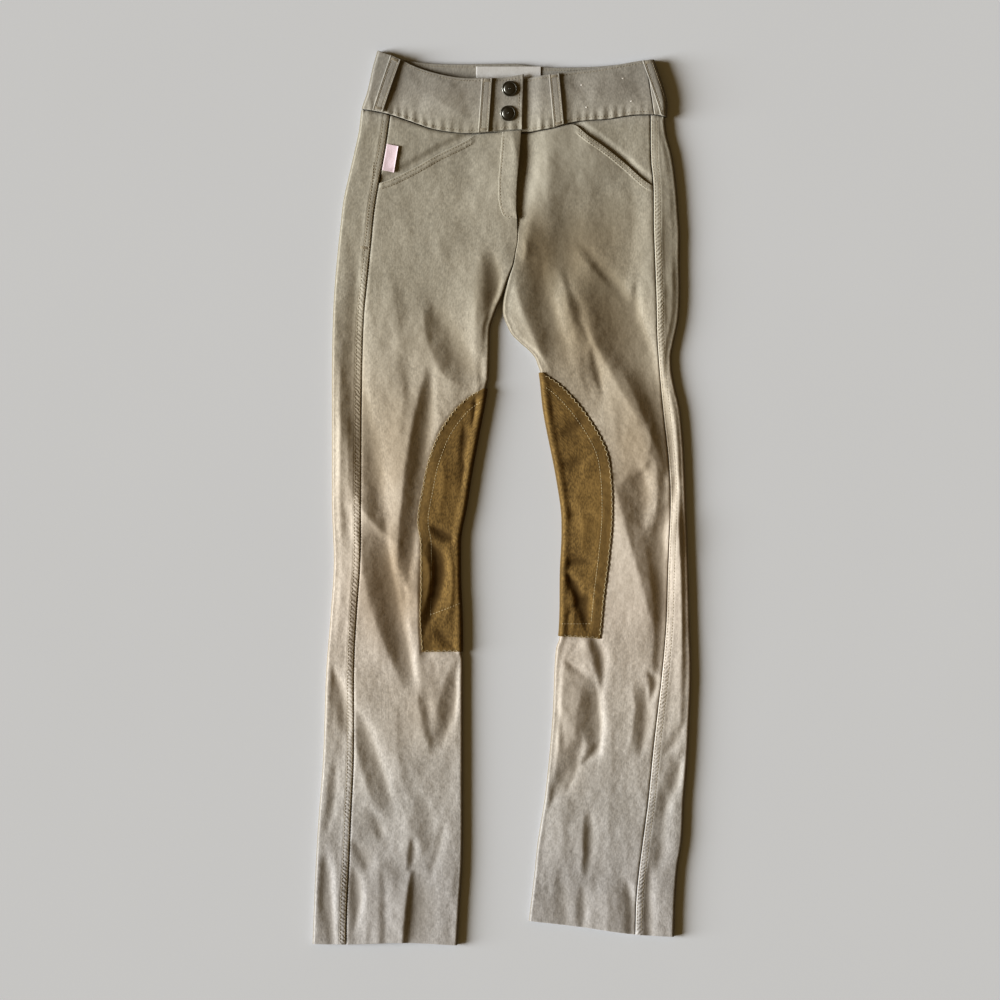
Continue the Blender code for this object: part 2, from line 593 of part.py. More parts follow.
def band_grid(path, upper, lower, columns):
    """Points of a waistband piece, in even rows between its upper and lower edges."""
    v = np.repeat(np.linspace(0.0, 1.0, BAND_ROWS + 1)[:, None], columns, axis=1)
    down = upper[0][1] * (1.0 - v) + lower[0][1] * v
    for _ in range(PASSES):
        x = path(down)[0]
        down = through(upper, x) * (1.0 - v) + through(lower, x) * v
    x, height = path(down)
    return np.stack([x, down, height + np.zeros_like(x)], axis=-1)


def band_wall(name, points, twill):
    normals = squared_edges(outward(points), np.array([0.0, 0.0, 1.0]))
    wall(name, points, points - BAND_WALL * normals, twill)


def back_band_path(down):
    """From the join on the right, round the right edge, under, round the left edge, to the join."""
    radius = 0.5 * BAND_HEIGHT
    low_x = through(OUTER_RIGHT, down) + radius
    high_x = through(OUTER_LEFT, down) - radius
    first = through(BAND_JOIN_RIGHT, down) - 0.5 * SEAM_GAP
    last = through(BAND_JOIN_LEFT, down) + 0.5 * SEAM_GAP
    strip = first - low_x
    roll = math.pi * radius
    under = high_x - low_x
    place = columns_along([strip, roll, under, roll, high_x - last], BAND_COLUMNS)
    turn_one = np.clip((place - strip) / radius, 0.0, math.pi)
    turn_two = np.clip((place - strip - roll - under) / radius, 0.0, math.pi)
    x = first - np.minimum(place, strip) - radius * np.sin(turn_one)
    x = x + np.clip(place - strip - roll, 0.0, under) + radius * np.sin(turn_two)
    x = x - np.maximum(place - strip - 2.0 * roll - under, 0.0)
    return x, radius * (2.0 + np.cos(turn_one) - np.cos(turn_two))


def right_band_path(down):
    """Front piece on the right, from the join to the end of its snap tab."""
    first = through(BAND_JOIN_RIGHT, down) + 0.5 * SEAM_GAP
    x = first + columns_along([through(TAB_EDGE, down) - first], [TAB_COLUMNS])
    return x, BAND_HEIGHT


def left_band_path(down):
    """Front piece on the left, which lies lower where the tab laps over it."""
    last = through(BAND_JOIN_LEFT, down) - 0.5 * SEAM_GAP
    x = TAB_UNDERLAP + columns_along([last - TAB_UNDERLAP], [TAB_COLUMNS])
    lower = 1.0 - smooth_step((x - TAB_CLEAR[0]) / TAB_CLEAR[1])
    return x, BAND_HEIGHT - (BAND_WALL + TAB_GAP) * lower


def make_waistband(twill):
    tab_lower = [row for row in BAND_SEAM if row[0] < TAB_SEAM[0][0] - 1.0] + TAB_SEAM
    back = band_grid(back_band_path, BAND_TOP_BACK, BACK_SEAM, sum(BAND_COLUMNS) + 1)
    band_wall("waistband_back", back, twill)
    right = band_grid(right_band_path, BAND_TOP_RIGHT, tab_lower, TAB_COLUMNS + 1)
    band_wall("waistband_front_right", right, twill)
    left = band_grid(left_band_path, BAND_TOP_LEFT, BAND_SEAM, TAB_COLUMNS + 1)
    band_wall("waistband_front_left", left, twill)


def loop_points(loop, stand):
    """Points of one face of a belt loop, stand above the band. It bends with the band's rolled edge."""
    radius = 0.5 * BAND_HEIGHT
    outer = OUTER_RIGHT if loop.way > 0.0 else OUTER_LEFT
    upper = BAND_TOP_RIGHT if loop.way > 0.0 else BAND_TOP_LEFT
    v, u = unit_grid(*LOOP_GRID)
    flat_x = loop.x_top + (loop.x_end - loop.x_top) * v + LOOP_WIDTH * (u - 0.5)
    off = stand + LOOP_BOW * np.sin(math.pi * v)
    x = flat_x
    for _ in range(PASSES):
        down = (through(upper, x) + REST_GAP) * (1.0 - v) + (through(BAND_SEAM, x) - REST_GAP) * v
        roll_x = through(outer, down) + loop.way * radius
        turned = np.clip(loop.way * (roll_x - flat_x) / radius, 0.0, math.pi)
        x = np.where(turned > 0.0, roll_x - loop.way * (radius + off) * np.sin(turned), flat_x)
    return np.stack([x, down, radius + (radius + off) * np.cos(turned)], axis=-1)


def make_loops(twill):
    for loop in LOOPS:
        inner = loop_points(loop, REST_GAP)
        wall(loop.name, loop_points(loop, REST_GAP + LOOP_THICK), inner, twill)


# ---------------------------------------------------------------- small pieces

def make_snap(name, x, down, metal):
    """Domed cap turned about its own axis: flat back, rolled rim, a shallow groove and a plain dome."""
    rim_height = SNAP_RIM[-2][1]
    profile = [(SNAP_RADIUS - inset, height) for inset, height in SNAP_RIM]
    for a in np.linspace(0.0, 0.5 * math.pi, 5)[:-1]:
        height = rim_height + (SNAP_HEIGHT - rim_height) * math.sin(a)
        profile.append((SNAP_RADIUS * SNAP_DOME * math.cos(a), height))
    steps = SNAP_SIDES
    verts = []
    for r, z in profile:
        for k in range(steps):
            angle = 2.0 * math.pi * k / steps
            verts.append((x + r * math.cos(angle), down + r * math.sin(angle), z))
    verts.append((x, down, SNAP_HEIGHT))
    faces = [tuple(range(steps))]
    for ring in range(len(profile) - 1):
        for k in range(steps):
            after = (k + 1) % steps
            low = ring * steps
            faces.append((low + k, low + after, low + steps + after, low + steps + k))
    last = (len(profile) - 1) * steps
    faces += [(last + k, last + (k + 1) % steps, len(verts) - 1) for k in range(steps)]
    seat = BAND_HEIGHT + REST_GAP
    new_object(name, placed([(a, b, c + seat) for a, b, c in verts]), faces, metal)


def make_neck_label(tape):
    """Plain label on the inside of the back waistband."""
    left, right, upper, lower = NECK_LABEL
    v, u = unit_grid(*LABEL_GRID)
    x = left + (right - left) * u
    low = np.stack([x, upper + (lower - upper) * v, np.full_like(x, BAND_WALL + REST_GAP)], axis=-1)
    wall("neck_label", low + np.array([0.0, 0.0, TAPE]), low, tape)


def make_placket(front, normals, twill):
    spare = 25.0
    rows = slice(0, int(np.sum(front[:, -1, 1] < PLACKET[-2][1] + spare)))
    across = slice(FRONT_COLUMNS - 2, None)
    outline = rounded(PLACKET, 3, 6, 10)
    sewn_on("fly_placket", front[rows, across], normals[rows, across], outline, PLACKET_THICK, twill)


def make_side_label(facing, tape):
    up = np.zeros_like(facing) + np.array([0.0, 0.0, 1.0])
    sewn_on("side_label", facing, up, SIDE_LABEL, TAPE, tape)


def clear_scene():
    for piece in list(bpy.data.objects):
        bpy.data.objects.remove(piece, do_unlink=True)


def main():
    clear_scene()
    twill = finish("twill", (0.40, 0.34, 0.27), 0.85)
    suede = finish("suede", (0.165, 0.10, 0.035), 0.95)
    metal = finish("snap_metal", (0.05, 0.05, 0.06), 0.35, 0.9)
    tape = finish("label_tape", (0.80, 0.76, 0.70), 0.7)
    front, normals, facing = make_half(RIGHT, "right", twill, suede)
    make_half(LEFT, "left", twill, suede)
    make_placket(front, normals, twill)
    make_waistband(twill)
    make_loops(twill)
    make_snap("snap_cap_upper", *SNAP_UPPER, metal)
    make_snap("snap_cap_lower", *SNAP_LOWER, metal)
    make_neck_label(tape)
    make_side_label(facing, tape)
    for piece in bpy.data.objects:
        piece.data.shade_smooth()
        piece.data.set_sharp_from_angle(angle=math.radians(40.0))


if __name__ == "__main__":
    main()
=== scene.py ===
"""Riding breeches laid flat, front up, in stretch twill with suede knee patches.

Every piece of cloth is a thin closed shell on the form of its own solid, with its creases, lapped seams,
puckers and stitches. Places are in millimetres as a maker reads them off the flat garment: "down" is
the distance below the top of the waistband, x runs across with the wearer's left at +x, and heights are
above the surface that the breeches lie on. The side called right is the wearer's right, at -x.
"""

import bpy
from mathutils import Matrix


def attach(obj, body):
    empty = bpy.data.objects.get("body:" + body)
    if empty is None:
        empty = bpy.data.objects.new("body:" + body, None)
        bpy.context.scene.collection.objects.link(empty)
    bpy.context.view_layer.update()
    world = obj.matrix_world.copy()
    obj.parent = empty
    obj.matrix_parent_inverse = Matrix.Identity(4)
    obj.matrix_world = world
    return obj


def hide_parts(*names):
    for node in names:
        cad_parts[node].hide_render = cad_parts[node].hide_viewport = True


bl_info = {
    "name": "Riding Breeches",
    "version": (1, 0, 0),
    "blender": (4, 5, 0),
    "location": "View3D > Sidebar > Breeches",
    "description": "Builds a pair of riding breeches laid flat, piece by piece",
    "category": "Add Mesh",
}

import math
from collections import namedtuple
from functools import partial

import bpy
import numpy as np
from mathutils import Vector

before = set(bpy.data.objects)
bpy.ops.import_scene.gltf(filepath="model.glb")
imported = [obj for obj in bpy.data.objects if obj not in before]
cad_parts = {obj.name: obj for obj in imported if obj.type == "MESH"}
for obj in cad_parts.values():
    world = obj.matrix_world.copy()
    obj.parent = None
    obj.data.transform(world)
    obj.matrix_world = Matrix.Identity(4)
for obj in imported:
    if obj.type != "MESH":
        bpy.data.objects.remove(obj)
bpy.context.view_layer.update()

MM = 0.001
TURN = 2.0 * math.pi

# Sizes shared with the solids, in millimetres.
LENGTH = 947.5  # top of the waistband to the lower hem
WALL = 1.2  # stretch twill
BAND_WALL = 1.8  # waistband, two layers of twill
SUEDE = 1.3  # knee patches
TAPE = 0.8  # labels
SEAM_GAP = 0.4  # between two panels at a seam
UNDER_SLACK = 0.6  # more at the waistband seam under the garment
REST_GAP = 0.3  # between a panel and what is sewn on it
LAP_WIDTH = 8.0  # turned edge of the back panel along the side seam
LAP_RISE = 0.25  # and its height over the strip beside it
LAP_SHARE = 0.6  # most of the strip beside the seam that the lap may take up
LAP_STEP = 0.36  # width of the step down beside the lap, as a share of the lap
FRONT_FLOOR = 2.75  # least height of the front above the surface, at the bottom of a fold
POCKET_DROP = 1.7  # the facing lies lower by this under the pocket edge
POCKET_OVERLAP = 9.0  # and runs on under it by this much
POCKET_SLOPE = (13.0, 4.0)  # it sinks between these two places above the pocket edge
POCKET_GAPE = 0.35  # the pocket edge stands open by this at its middle
POCKET_FADE = 22.0  # and closes over this length at each end
POCKET_LIP = 9.0  # the gape dies away over this width below the edge
FACING_PAST = 6.5  # the facing runs on past the inner end of the pocket edge
UNDERLAP = 10.0  # the left front runs on under the fly
UNDERLAP_END = 9.0  # and the underlap narrows to nothing over this length
FLY_DROP = 2.0  # the left front lies lower by this under the fly
FLY_END = 166.0  # down, where the underlap ends
FLY_RISE = (8.0, 30.0)  # below that it rises again: start and length of the rise
FLY_SIDE = (4.0, 34.0)  # and the same across it, beside the fly
CROTCH = (205.0, 272.0)  # down, where the inner edges start and finish turning over
PANEL_TOP = 82.0  # down, nominal top of a panel
BLEND = 200.0  # a panel's rows lose the slope of its top edge over this length
PATCH_TURN = 35.0  # degrees that a knee patch runs on past the panel's end
PATCH_EASE = 9.0  # the inner edge is drawn in over this length at each end of a patch
PLACKET_THICK = 1.0
PLACKET_TOP = 87.0  # down, nominal top of the placket
SNAP_RADIUS, SNAP_HEIGHT, SNAP_STEPS = 8.2, 2.6, 72
SNAP_UPPER = (8.3, 41.0)  # x and down of each snap cap
SNAP_LOWER = (6.6, 67.0)
BAND_HEIGHT = 7.5  # outside of the front waistband above the surface
TAB_UNDERLAP = -8.0  # x where the left front waistband starts, under the snap tab
TAB_GAP = 0.6  # between the tab and the waistband under it
TAB_CLEAR = (25.0, 18.0)  # x where it starts to rise from under the tab, and over how much
LOOP_WIDTH, LOOP_THICK = 11.6, 1.5
LOOP_BOW = 0.9  # a belt loop stands off the waistband by this at its middle
NECK_LABEL = (-27.0, 41.5, 17.0, 37.0)  # left, right, upper and lower edges

# Rows and columns of the cloth's grids.
GRID = 1.55  # spacing of the rows down the small pieces
ROW_GRID = 1.62  # and down the panels
CLOSE_ROWS = 9.0  # half as far apart over this length below the top edge of a front panel
RIM_COLUMNS = 3  # columns or rows round the rim of a shell
ROLL_COLUMNS = 12  # columns round a rolled edge
EDGE_BAND = 9.0  # width beside an inner edge that has columns of its own
FRONT_COLUMNS, PATCH_COLUMNS, TAB_COLUMNS = 70, 50, 100
BACK_COLUMNS = [RIM_COLUMNS, 10, 12, ROLL_COLUMNS, 38, 8, RIM_COLUMNS]
BAND_COLUMNS = [RIM_COLUMNS, 14, ROLL_COLUMNS, 150, ROLL_COLUMNS, 14, RIM_COLUMNS]
LOOP_LENGTH, BAND_DEPTH = 60.0, 66.0  # nominal length of a belt loop, and depth of the waistband
LOOP_GRID = (LOOP_LENGTH, LOOP_WIDTH, 16, LOOP_THICK, GRID)  # length, width, columns, wall and spacing
PLACKET_GRID = (92.0, 20.0, 14, PLACKET_THICK, GRID)
FACING_GRID = (60.0, 91.2, 60, WALL, 1.6)
SIDE_LABEL_GRID = (28.0, 12.4, 14, TAPE, 0.9)

# Folds, and the cloth's finer form, in millimetres.
FOLD_FADE = 6.5  # folds die away over this width beside a rolled edge
FOLD_REACH = 2.6  # a fold reaches this many half widths from its line
FOLD_TAPER = 0.45  # half width of a fold at its ends, as a share
CREST = 0.8  # roundness of the crest of a fold
SHARPNESS = (1.6, 1.15)  # of troughs and of ridges: 2 for a rounded one, 1 for a sharp one
LINE_STEPS = 20  # pieces of the line that a fold follows
UNEVEN = [  # the front's own unevenness: height, shrink of down, size and seed
    (0.55, 0.60, 31.0, 3), (0.24, 0.55, 13.0, 5), (0.10, 0.60, 5.5, 7),
]
CREASE_ROOM = 0.25  # least gap between a crease of a back panel and the front above it
UNDERSIDE = 0.02  # what lies lower than this is on the underside
PATCH_SINK = 0.65  # the front sinks by this much under a knee patch
PATCH_DIP = (2.5, 3.0)  # from this far outside the patch's edge, over this width
PATCH_CREASE = (12.5, 0.42, -0.15)  # pitch, height and floor of the creases along its border
PATCH_ROW = 11.5  # distance of the inner stitch row from the edge of a knee patch
ZIGZAG = (3.0, 2.2)  # pitch and width of the zigzag along the edge of a knee patch
PUCKER = (9.5, 0.60)  # pitch and height of the puckers along the waistband's lower edge
RIPPLE = (3.3, 0.16)  # and of the small ones along its stitch rows
TICK = (5.6, 0.10)  # pitch and depth of the ticks between the two rows of a pocket edge
POCKET_DOUBLE = 0.45  # rise of the doubled cloth along a pocket edge
POCKET_ROWS = (1.8, 6.2)  # distance of the stitch rows below a pocket edge
LAP_ROWS = (1.5, 6.4)  # distance of the stitch rows from a side seam
LAP_EASE = 2.2  # the puckers of the lap die away over this width on both sides
LAP_START = {"right": (190.0, 90.0), "left": (125.0, 50.0)}  # down, where they start, and grow over
FLAT_LAP = (300.0, 650.0)  # down, where the left lap lies pulled flat
FLAT_EASE = 50.0  # and the length over which that comes and goes
FLAT_SHARE = 0.8  # share of its rise that the lap loses there
EDGE_ROW = 3.0  # distance of the stitch row from an edge of the waistband
BAND_EASE = 9.0  # its hollows die away over this width towards both edges
TAB_ROW = 4.2  # distance of the stitch row from the edge of the snap tab
LOOP_ROW = 3.4  # distance of each stitch row from the middle of a belt loop
PLACKET_ROW = 1.8  # distance of the stitch row from the left edge of the placket
FLY_EDGE = (0.9, 17.0, 7.0)  # the raised fly edge: height, distance from that edge, half width
STITCH_LIFT = 0.1  # middle of a thread above the cloth
STITCH_SHARE = 0.72  # share of the pitch that a stitch takes up
SLIT = [(-135.6, 118.0), (-136.5, 131.4), (-144.7, 204.2)]  # stitch row beside the slit in the right strip
SLIT_TACK = (-150.0, 207.0)  # left end of the bar tack that closes it
TACKS = [(84.5, 36.8, 0.3), (128.4, 30.1, -0.4), (89.7, 60.4, 0.1), (137.2, 54.3, -0.5)]  # x, down, lean
SEAM_SINK = (0.42, 1.0)  # depth and half width of the groove along a side seam
BAND_SINK = (1.4, 2.0)  # and of the one along the lower edge of the waistband
GROOVE = (0.18, 0.9)  # and of the one that a stitch row pulls into the cloth
BACK_LIFT = 2.4  # the back waistband comes up by this inside the front one
LIFT_SIDES = (-122.0, 146.0, 34.0)  # x where that starts and ends, and the length over which it grows
LIFT_FADE = (17.0, 12.0)  # down where it starts to die away, and over how much

# Looks of the cloth.
FULL_RELIEF = 3.0  # height of a fold that counts as 1 in the materials, in millimetres
ROPE = (4.6, 0.34)  # pitch and depth of the diagonal puckers in a lapped seam, in millimetres
CRUMPLED = [(270.0, 0.9), (90.0, 1.5)]  # world Y in millimetres, and how strongly the twill is rumpled there
# Painted light and shade down the garment: painted shade on the upper half of the waistband, painted light
# over the knees and shins, bluer towards the hem: down, and its colour as a share of the twill's own.
LIGHT_AND_SHADE_DOWN = [
    (14, (0.82, 0.85, 0.92)), (42, (0.85, 0.87, 0.93)), (62, (1.00, 1.03, 1.09)), (84, (0.97, 0.99, 1.0)),
    (250, (1.04, 1.05, 1.05)), (380, (1.20, 1.17, 1.16)), (480, (1.30, 1.26, 1.28)),
    (600, (1.36, 1.32, 1.38)), (700, (1.32, 1.33, 1.44)), (800, (1.19, 1.24, 1.41)),
    (880, (1.10, 1.15, 1.34)),
]
# Painted shade in darker brown patches: x, down, half width, half length and weight, and the colour's shares
# there.
SHADE_PATCHES = [
    (96, 288, 76, 112, 0.80), (140, 430, 40, 96, 0.65), (-112, 562, 58, 92, 0.85),
    (-116, 430, 52, 90, 0.45), (84, 196, 90, 60, 0.45), (70, 720, 34, 90, 0.40),
    (36, 222, 26, 66, 0.85), (-12, 258, 20, 60, 0.55), (-84, 700, 60, 60, 0.35),
]
SHADE_PATCH_BROWN = (0.64, 0.57, 0.47)

# Stage, in metres.
FLOOR_REACH, FLOOR_LEVEL = 6.0, -0.0004
VIEW_WIDTH = 1.06
VIEW_CENTRE = (-0.0019, -0.0022)
WINDOW_SIDE = math.radians(184.0)  # where the window light comes from, anticlockwise from +x
WINDOW_TINT = (0.95, 0.985, 1.0)
ROOM_TINT = (1.0, 0.72, 0.32)

Fold = namedtuple("Fold", "x0 d0 x1 d1 x2 d2 left right height")
Loop = namedtuple("Loop", "name way x_top x_end")
Half = namedtuple("Half", "side way outer seam inner folds front_top pocket patch patch_end patch_row hem")


def folds(*rows):
    """Folds, one from each row: a curved line through three places, as x and down, the half widths on
    its left and on its right, and its height, which is negative for a trough."""
    return [Fold(*row) for row in rows]


# Outer edge, side seam and inner edge of each half, as (down, x). The inner edges meet in the seat.
OUTER_RIGHT = [
    (0, -131.8), (17, -136.5), (45, -142.9), (61, -148.2), (85, -151.4), (114, -157.7), (137, -163),
    (159, -167.8), (181, -170.4), (211, -173.6), (262, -177.9), (306, -179.5), (370, -180),
    (476, -180), (540, -177.9), (594, -181), (654, -185.8), (752, -189.5), (815, -194.3),
    (870, -197.5), (947, -200.6),
]
SEAM_RIGHT = [
    (66, -118), (99, -122.7), (129, -128), (169, -134.9), (201, -138.1), (238, -141.8),
    (281, -146.1), (369, -148.6), (476, -149.2), (540, -149.8), (594, -153.5), (641, -156.2),
    (752, -156.9), (815, -159.8), (858, -161.5), (913, -164.1), (947, -164.6),
]
INNER_TOP = [
    (80, 21.2), (113, 18.8), (141, 16.3), (167, 15.6), (179, 16.6), (197, 17), (214, 14.5),
    (227, 11.9), (238, 8.1),
]
INNER_RIGHT = INNER_TOP + [
    (259, 1.3), (273, -5.1), (284, -9.3), (293, -12), (308, -12.7), (338, -13.6), (356, -14.6),
    (404, -23.1), (444, -30.5), (481, -36.3), (523, -43.2), (566, -42.9), (598, -41.4), (688, -41.1),
    (814, -41.1), (864, -41.8), (895, -43.8), (948, -47),
]
OUTER_LEFT = [
    (10, 160.3), (37, 168.8), (59, 173), (69, 172.8), (89, 174.7), (111, 180.4), (137, 184.3),
    (174, 187.3), (195, 188.6), (222, 188.4), (253, 188.9), (285, 187.2), (308, 182.5), (325, 179.6),
    (340, 180.4), (357, 183.6), (378, 188.5), (412, 192.1), (455, 194.2), (518, 196.3), (561, 197.9),
    (603, 199), (660, 200.6), (705, 199), (757, 196.3), (794, 193.1), (836, 191), (867, 186.2),
    (903, 183.6), (938, 182.5),
]
SEAM_LEFT = [
    (66, 157.4), (120, 158.2), (136, 160), (190, 160.8), (232, 162.4), (264, 163.5), (306, 164.5),
    (349, 167.7), (391, 172), (434, 176.6), (476, 178.6), (518, 177), (561, 175.5), (603, 174.2),
    (635, 171.9), (667, 168.8), (704, 164.5), (741, 160.3), (794, 155), (836, 149.5), (867, 145.4),
    (898, 142.3), (940, 141),
]
INNER_LEFT = INNER_TOP + [
    (250, 4.6), (262, 1.9), (274, 0.8), (282, 1.8), (290, 5), (301, 10.8), (310, 19.9), (318, 29),
    (326, 35.4), (338, 38.4), (382, 43.7), (450, 56.9), (490, 62.8), (512, 63.2), (550, 61.5),
    (616, 60), (638, 56.8), (705, 53.6), (787, 45.8), (842, 37.3), (873, 34.1), (921, 28.4),
]

# Lower edge of the waistband over the front and round the back, and its upper edges, as (x, down).
BAND_SEAM = [
    (-148.5, 62), (-126, 66), (-118, 68), (-91.5, 77), (-74, 83), (-54, 86.5), (-34, 88),
    (-13.6, 86.8), (0, 86.4), (21, 86.6), (30, 86.4), (40.5, 84.5), (55, 82), (72, 77),
    (93.5, 74), (110.5, 73), (137, 68.8), (158, 68), (166, 68.5), (173, 70.5),
]
BACK_SEAM = [
    (-148.5, 62), (-126, 66), (-118, 68), (-60, 77), (20, 80), (90, 76.5), (137, 70),
    (158, 68), (166, 68.5), (173, 70.5),
]
BACK_FLAT = (-115, 150)     # x between which that seam lies under the garment
BAND_END_RIGHT = BAND_SEAM[:6] + [(-35, 88), (-13.6, 86.5), (0, 85), (22, 84)]    # round the tab
BAND_TOP_BACK = [
    (-132, 0), (-117, 5.2), (-103, 9.6), (-82, 13), (-44, 14.6), (14, 14), (30, 16.4), (62, 18),
    (94, 17.4), (115, 15.8), (148, 11), (161, 9.6),
]
BAND_TOP_RIGHT = [
    (-132, 0.5), (-117, 5.4), (-107, 9.8), (-95, 15.6), (-82, 20.6), (-62, 26), (-44, 29),
    (-2, 29.2), (23, 25.4),
]
BAND_TOP_LEFT = [
    (-10, 31.2), (23.5, 30.2), (40.5, 27), (62, 24), (78, 22), (102, 19), (125, 15),
    (148, 11), (161, 9.6),
]
BAND_JOIN_RIGHT = [(0, -110.5), (67, -130.6)]
BAND_JOIN_LEFT = [(8, 152.5), (69, 161)]
TAB_EDGE = [(24, 23.2), (86, 21.4)]

# Slanted pocket edges, from the side seam up to the waistband, as (x, down).
POCKET_RIGHT = [(-131, 141), (-117.4, 136.5), (-90, 123), (-69, 111), (-39.5, 96.5), (-28.5, 90)]
POCKET_LEFT = [
    (77, 78.5), (91, 90), (107, 101), (122.5, 113), (135, 123.5), (143, 131), (153.4, 139.5),
    (160, 143.4),
]

# Upper edges of the front panels: the pocket edge, then the waistband seam.
FRONT_TOP_RIGHT = POCKET_RIGHT + [(-20, 88), (-8, 87), (22, 84.6)]
FRONT_TOP_LEFT = [(4, 87.4), (30, 87), (40.5, 85.1), (55, 82.6), (72, 77.9)] + POCKET_LEFT

# Outer edges of the knee patches over the front, and their lower edges, as (down, x) and (x, down).
PATCH_RIGHT = [
    (352, -4), (356, -14.6), (366, -34), (391, -58), (430, -76.5), (468, -85), (498, -89.5),
    (525, -86), (566, -86), (598, -87), (637, -84.6),
]
PATCH_LEFT = [
    (334, 28), (339, 38.4), (350, 57), (371, 78.7), (397, 97.7), (423, 111), (456, 116.6),
    (490, 117.6), (533, 114.3), (577, 109), (623, 104.5),
]

# Fly placket: its left edge, which turns in a J to the right at the bottom.
PLACKET = [
    (88, 0.4), (113, -1.4), (141, -3.4), (160, -3), (169.5, -0.8), (176, 3), (178.6, 8.5),
]
SIDE_LABEL = [(-121.6, 99), (-109.4, 101.5), (-114.2, 129.5), (-126.6, 127)]    # its four corners

# Height of the outside of the front above the surface, before its folds.
LOFT = [(60, 6.4), (120, 6.4), (220, 6.1), (330, 5.8), (640, 5.8), (800, 6.0), (947, 6.0)]

# Belt loops: centre line from the upper to the lower edge of the waistband.
LOOPS = [
    Loop("belt_loop_side_right", 1.0, -112.1, -131.2),
    Loop("belt_loop_front_right", 1.0, -15.5, -19.4),
    Loop("belt_loop_front_left", -1.0, 55.3, 60.4),
    Loop("belt_loop_side_left", -1.0, 154.2, 173.6),
]

# Folds of the front, from the waist to the hem.
FOLDS_RIGHT = folds(
    # beside the fly
    (2, 62, 17, 128, 17, 208, 42, 8, 2), (-40, 96, -36, 130, -44, 176, 16, 14, -0.6),
    # thigh and inner thigh
    (-84, 270, -69, 332, -32, 360, 14, 14, 1.9), (-72, 262, -46, 318, -8, 346, 14, 16, -2.3),
    (-75, 270, -74, 294, -76, 318, 7, 6, -0.5), (-22, 208, -20, 254, -20, 310, 13, 9, 0.9),
    (-12, 212, -5, 252, -10, 306, 11, 7, -1.8), (-106, 318, -100, 342, -98, 370, 8, 12, -1.1),
    (-114, 250, -112, 290, -110, 330, 16, 14, 0.7), (-24, 248, -28, 310, -24, 372, 10, 12, 1.5),
    # knee: the long main fold beside the patch
    (-79, 334, -102, 440, -112, 566, 20, 13, 3.5), (-74, 336, -84, 436, -101, 574, 13, 7, -2.8),
    (-106, 300, -104, 352, -110, 420, 24, 9, 1.3), (-93, 548, -88, 596, -90, 650, 7, 6, 1),
    # shin, from the side seam in under the patch
    (-147, 352, -135, 436, -116, 514, 14, 12, -2.6), (-154, 470, -141, 494, -114, 520, 6, 9, 1.7),
    (-155, 486, -140, 582, -101, 680, 17, 16, 2.5), (-124, 498, -111, 590, -86, 690, 17, 7, -3.5),
    (-102, 552, -98, 590, -96, 636, 8, 7, 1.3), (-104, 566, -100, 586, -98, 606, 4, 5, -1),
    # on the patch
    (-75, 503, -60, 513, -44, 520, 5, 5, -2.6), (-78, 520, -66, 552, -82, 616, 6, 6, -3.8),
    (-44, 430, -36, 452, -38, 476, 7, 5, -1.6), (-68, 612, -60, 624, -48, 634, 5, 5, -1.1),
    (-86, 528, -76, 560, -90, 606, 7, 7, 1.6), (-56, 530, -52, 566, -60, 606, 8, 7, 1.5),
    (-28, 366, -28, 382, -30, 402, 3, 4, -1.4), (-40, 396, -40, 414, -43, 438, 3, 4, -1.4),
    (-64, 430, -62, 460, -68, 492, 7, 7, 0.8),
    # below the patch
    (-94, 636, -88, 664, -82, 690, 18, 16, 1.6), (-52, 646, -68, 694, -78, 742, 14, 16, 1.6),
    (-38, 648, -51, 690, -66, 742, 14, 7, -2.6), (-92, 660, -86, 702, -77, 744, 12, 8, 1.2),
    (-84, 668, -78, 704, -70, 742, 6, 7, -1), (-158, 700, -150, 754, -132, 812, 11, 14, 1.7),
    (-150, 702, -132, 752, -114, 806, 14, 8, -2.3), (-110, 690, -112, 740, -100, 790, 10, 10, 0.7),
    (-108, 790, -94, 828, -84, 850, 14, 15, 1), (-88, 784, -76, 818, -80, 856, 14, 7, -1.1),
    (-98, 834, -99, 850, -103, 870, 6, 5, 0.9), (-94, 832, -94, 850, -97, 870, 5, 5, -1.3),
    (-60, 816, -68, 848, -76, 880, 5, 5, -1), (-160, 836, -148, 850, -142, 870, 6, 8, -1.2),
    (-138, 802, -130, 822, -126, 838, 5, 5, -0.9),
    # hem
    (-96, 866, -102, 910, -108, 978, 8, 5, 1.8), (-91, 866, -95, 910, -101, 980, 6, 30, -1.9),
    (-158, 864, -152, 896, -157, 934, 6, 5, -1.7), (-126, 868, -124, 910, -123, 970, 5, 6, -0.8),
    (-130, 846, -130, 900, -130, 985, 8, 22, 1.1), (-146, 862, -143, 905, -146, 975, 7, 7, 0.7),
    # strip outside the side seam
    (-179, 370, -178, 450, -173, 540, 6, 18, 1.5), (-166, 384, -161, 452, -155, 540, 10, 18, 1.3),
    (-152, 226, -154, 340, -152, 470, 12, 8, -2.3), (-170, 300, -172, 380, -171, 462, 8, 9, 1),
    (-166, 478, -161, 504, -155, 538, 7, 7, -1), (-159, 536, -161, 600, -163, 668, 11, 5, 1),
    (-180, 650, -168, 690, -162, 726, 7, 7, -2.3), (-176, 744, -178, 790, -186, 830, 6, 5, -1.2),
    (-186, 846, -183, 896, -175, 972, 13, 6, -2.1), (-176, 856, -175, 900, -176, 975, 4, 4, 0.8),
)
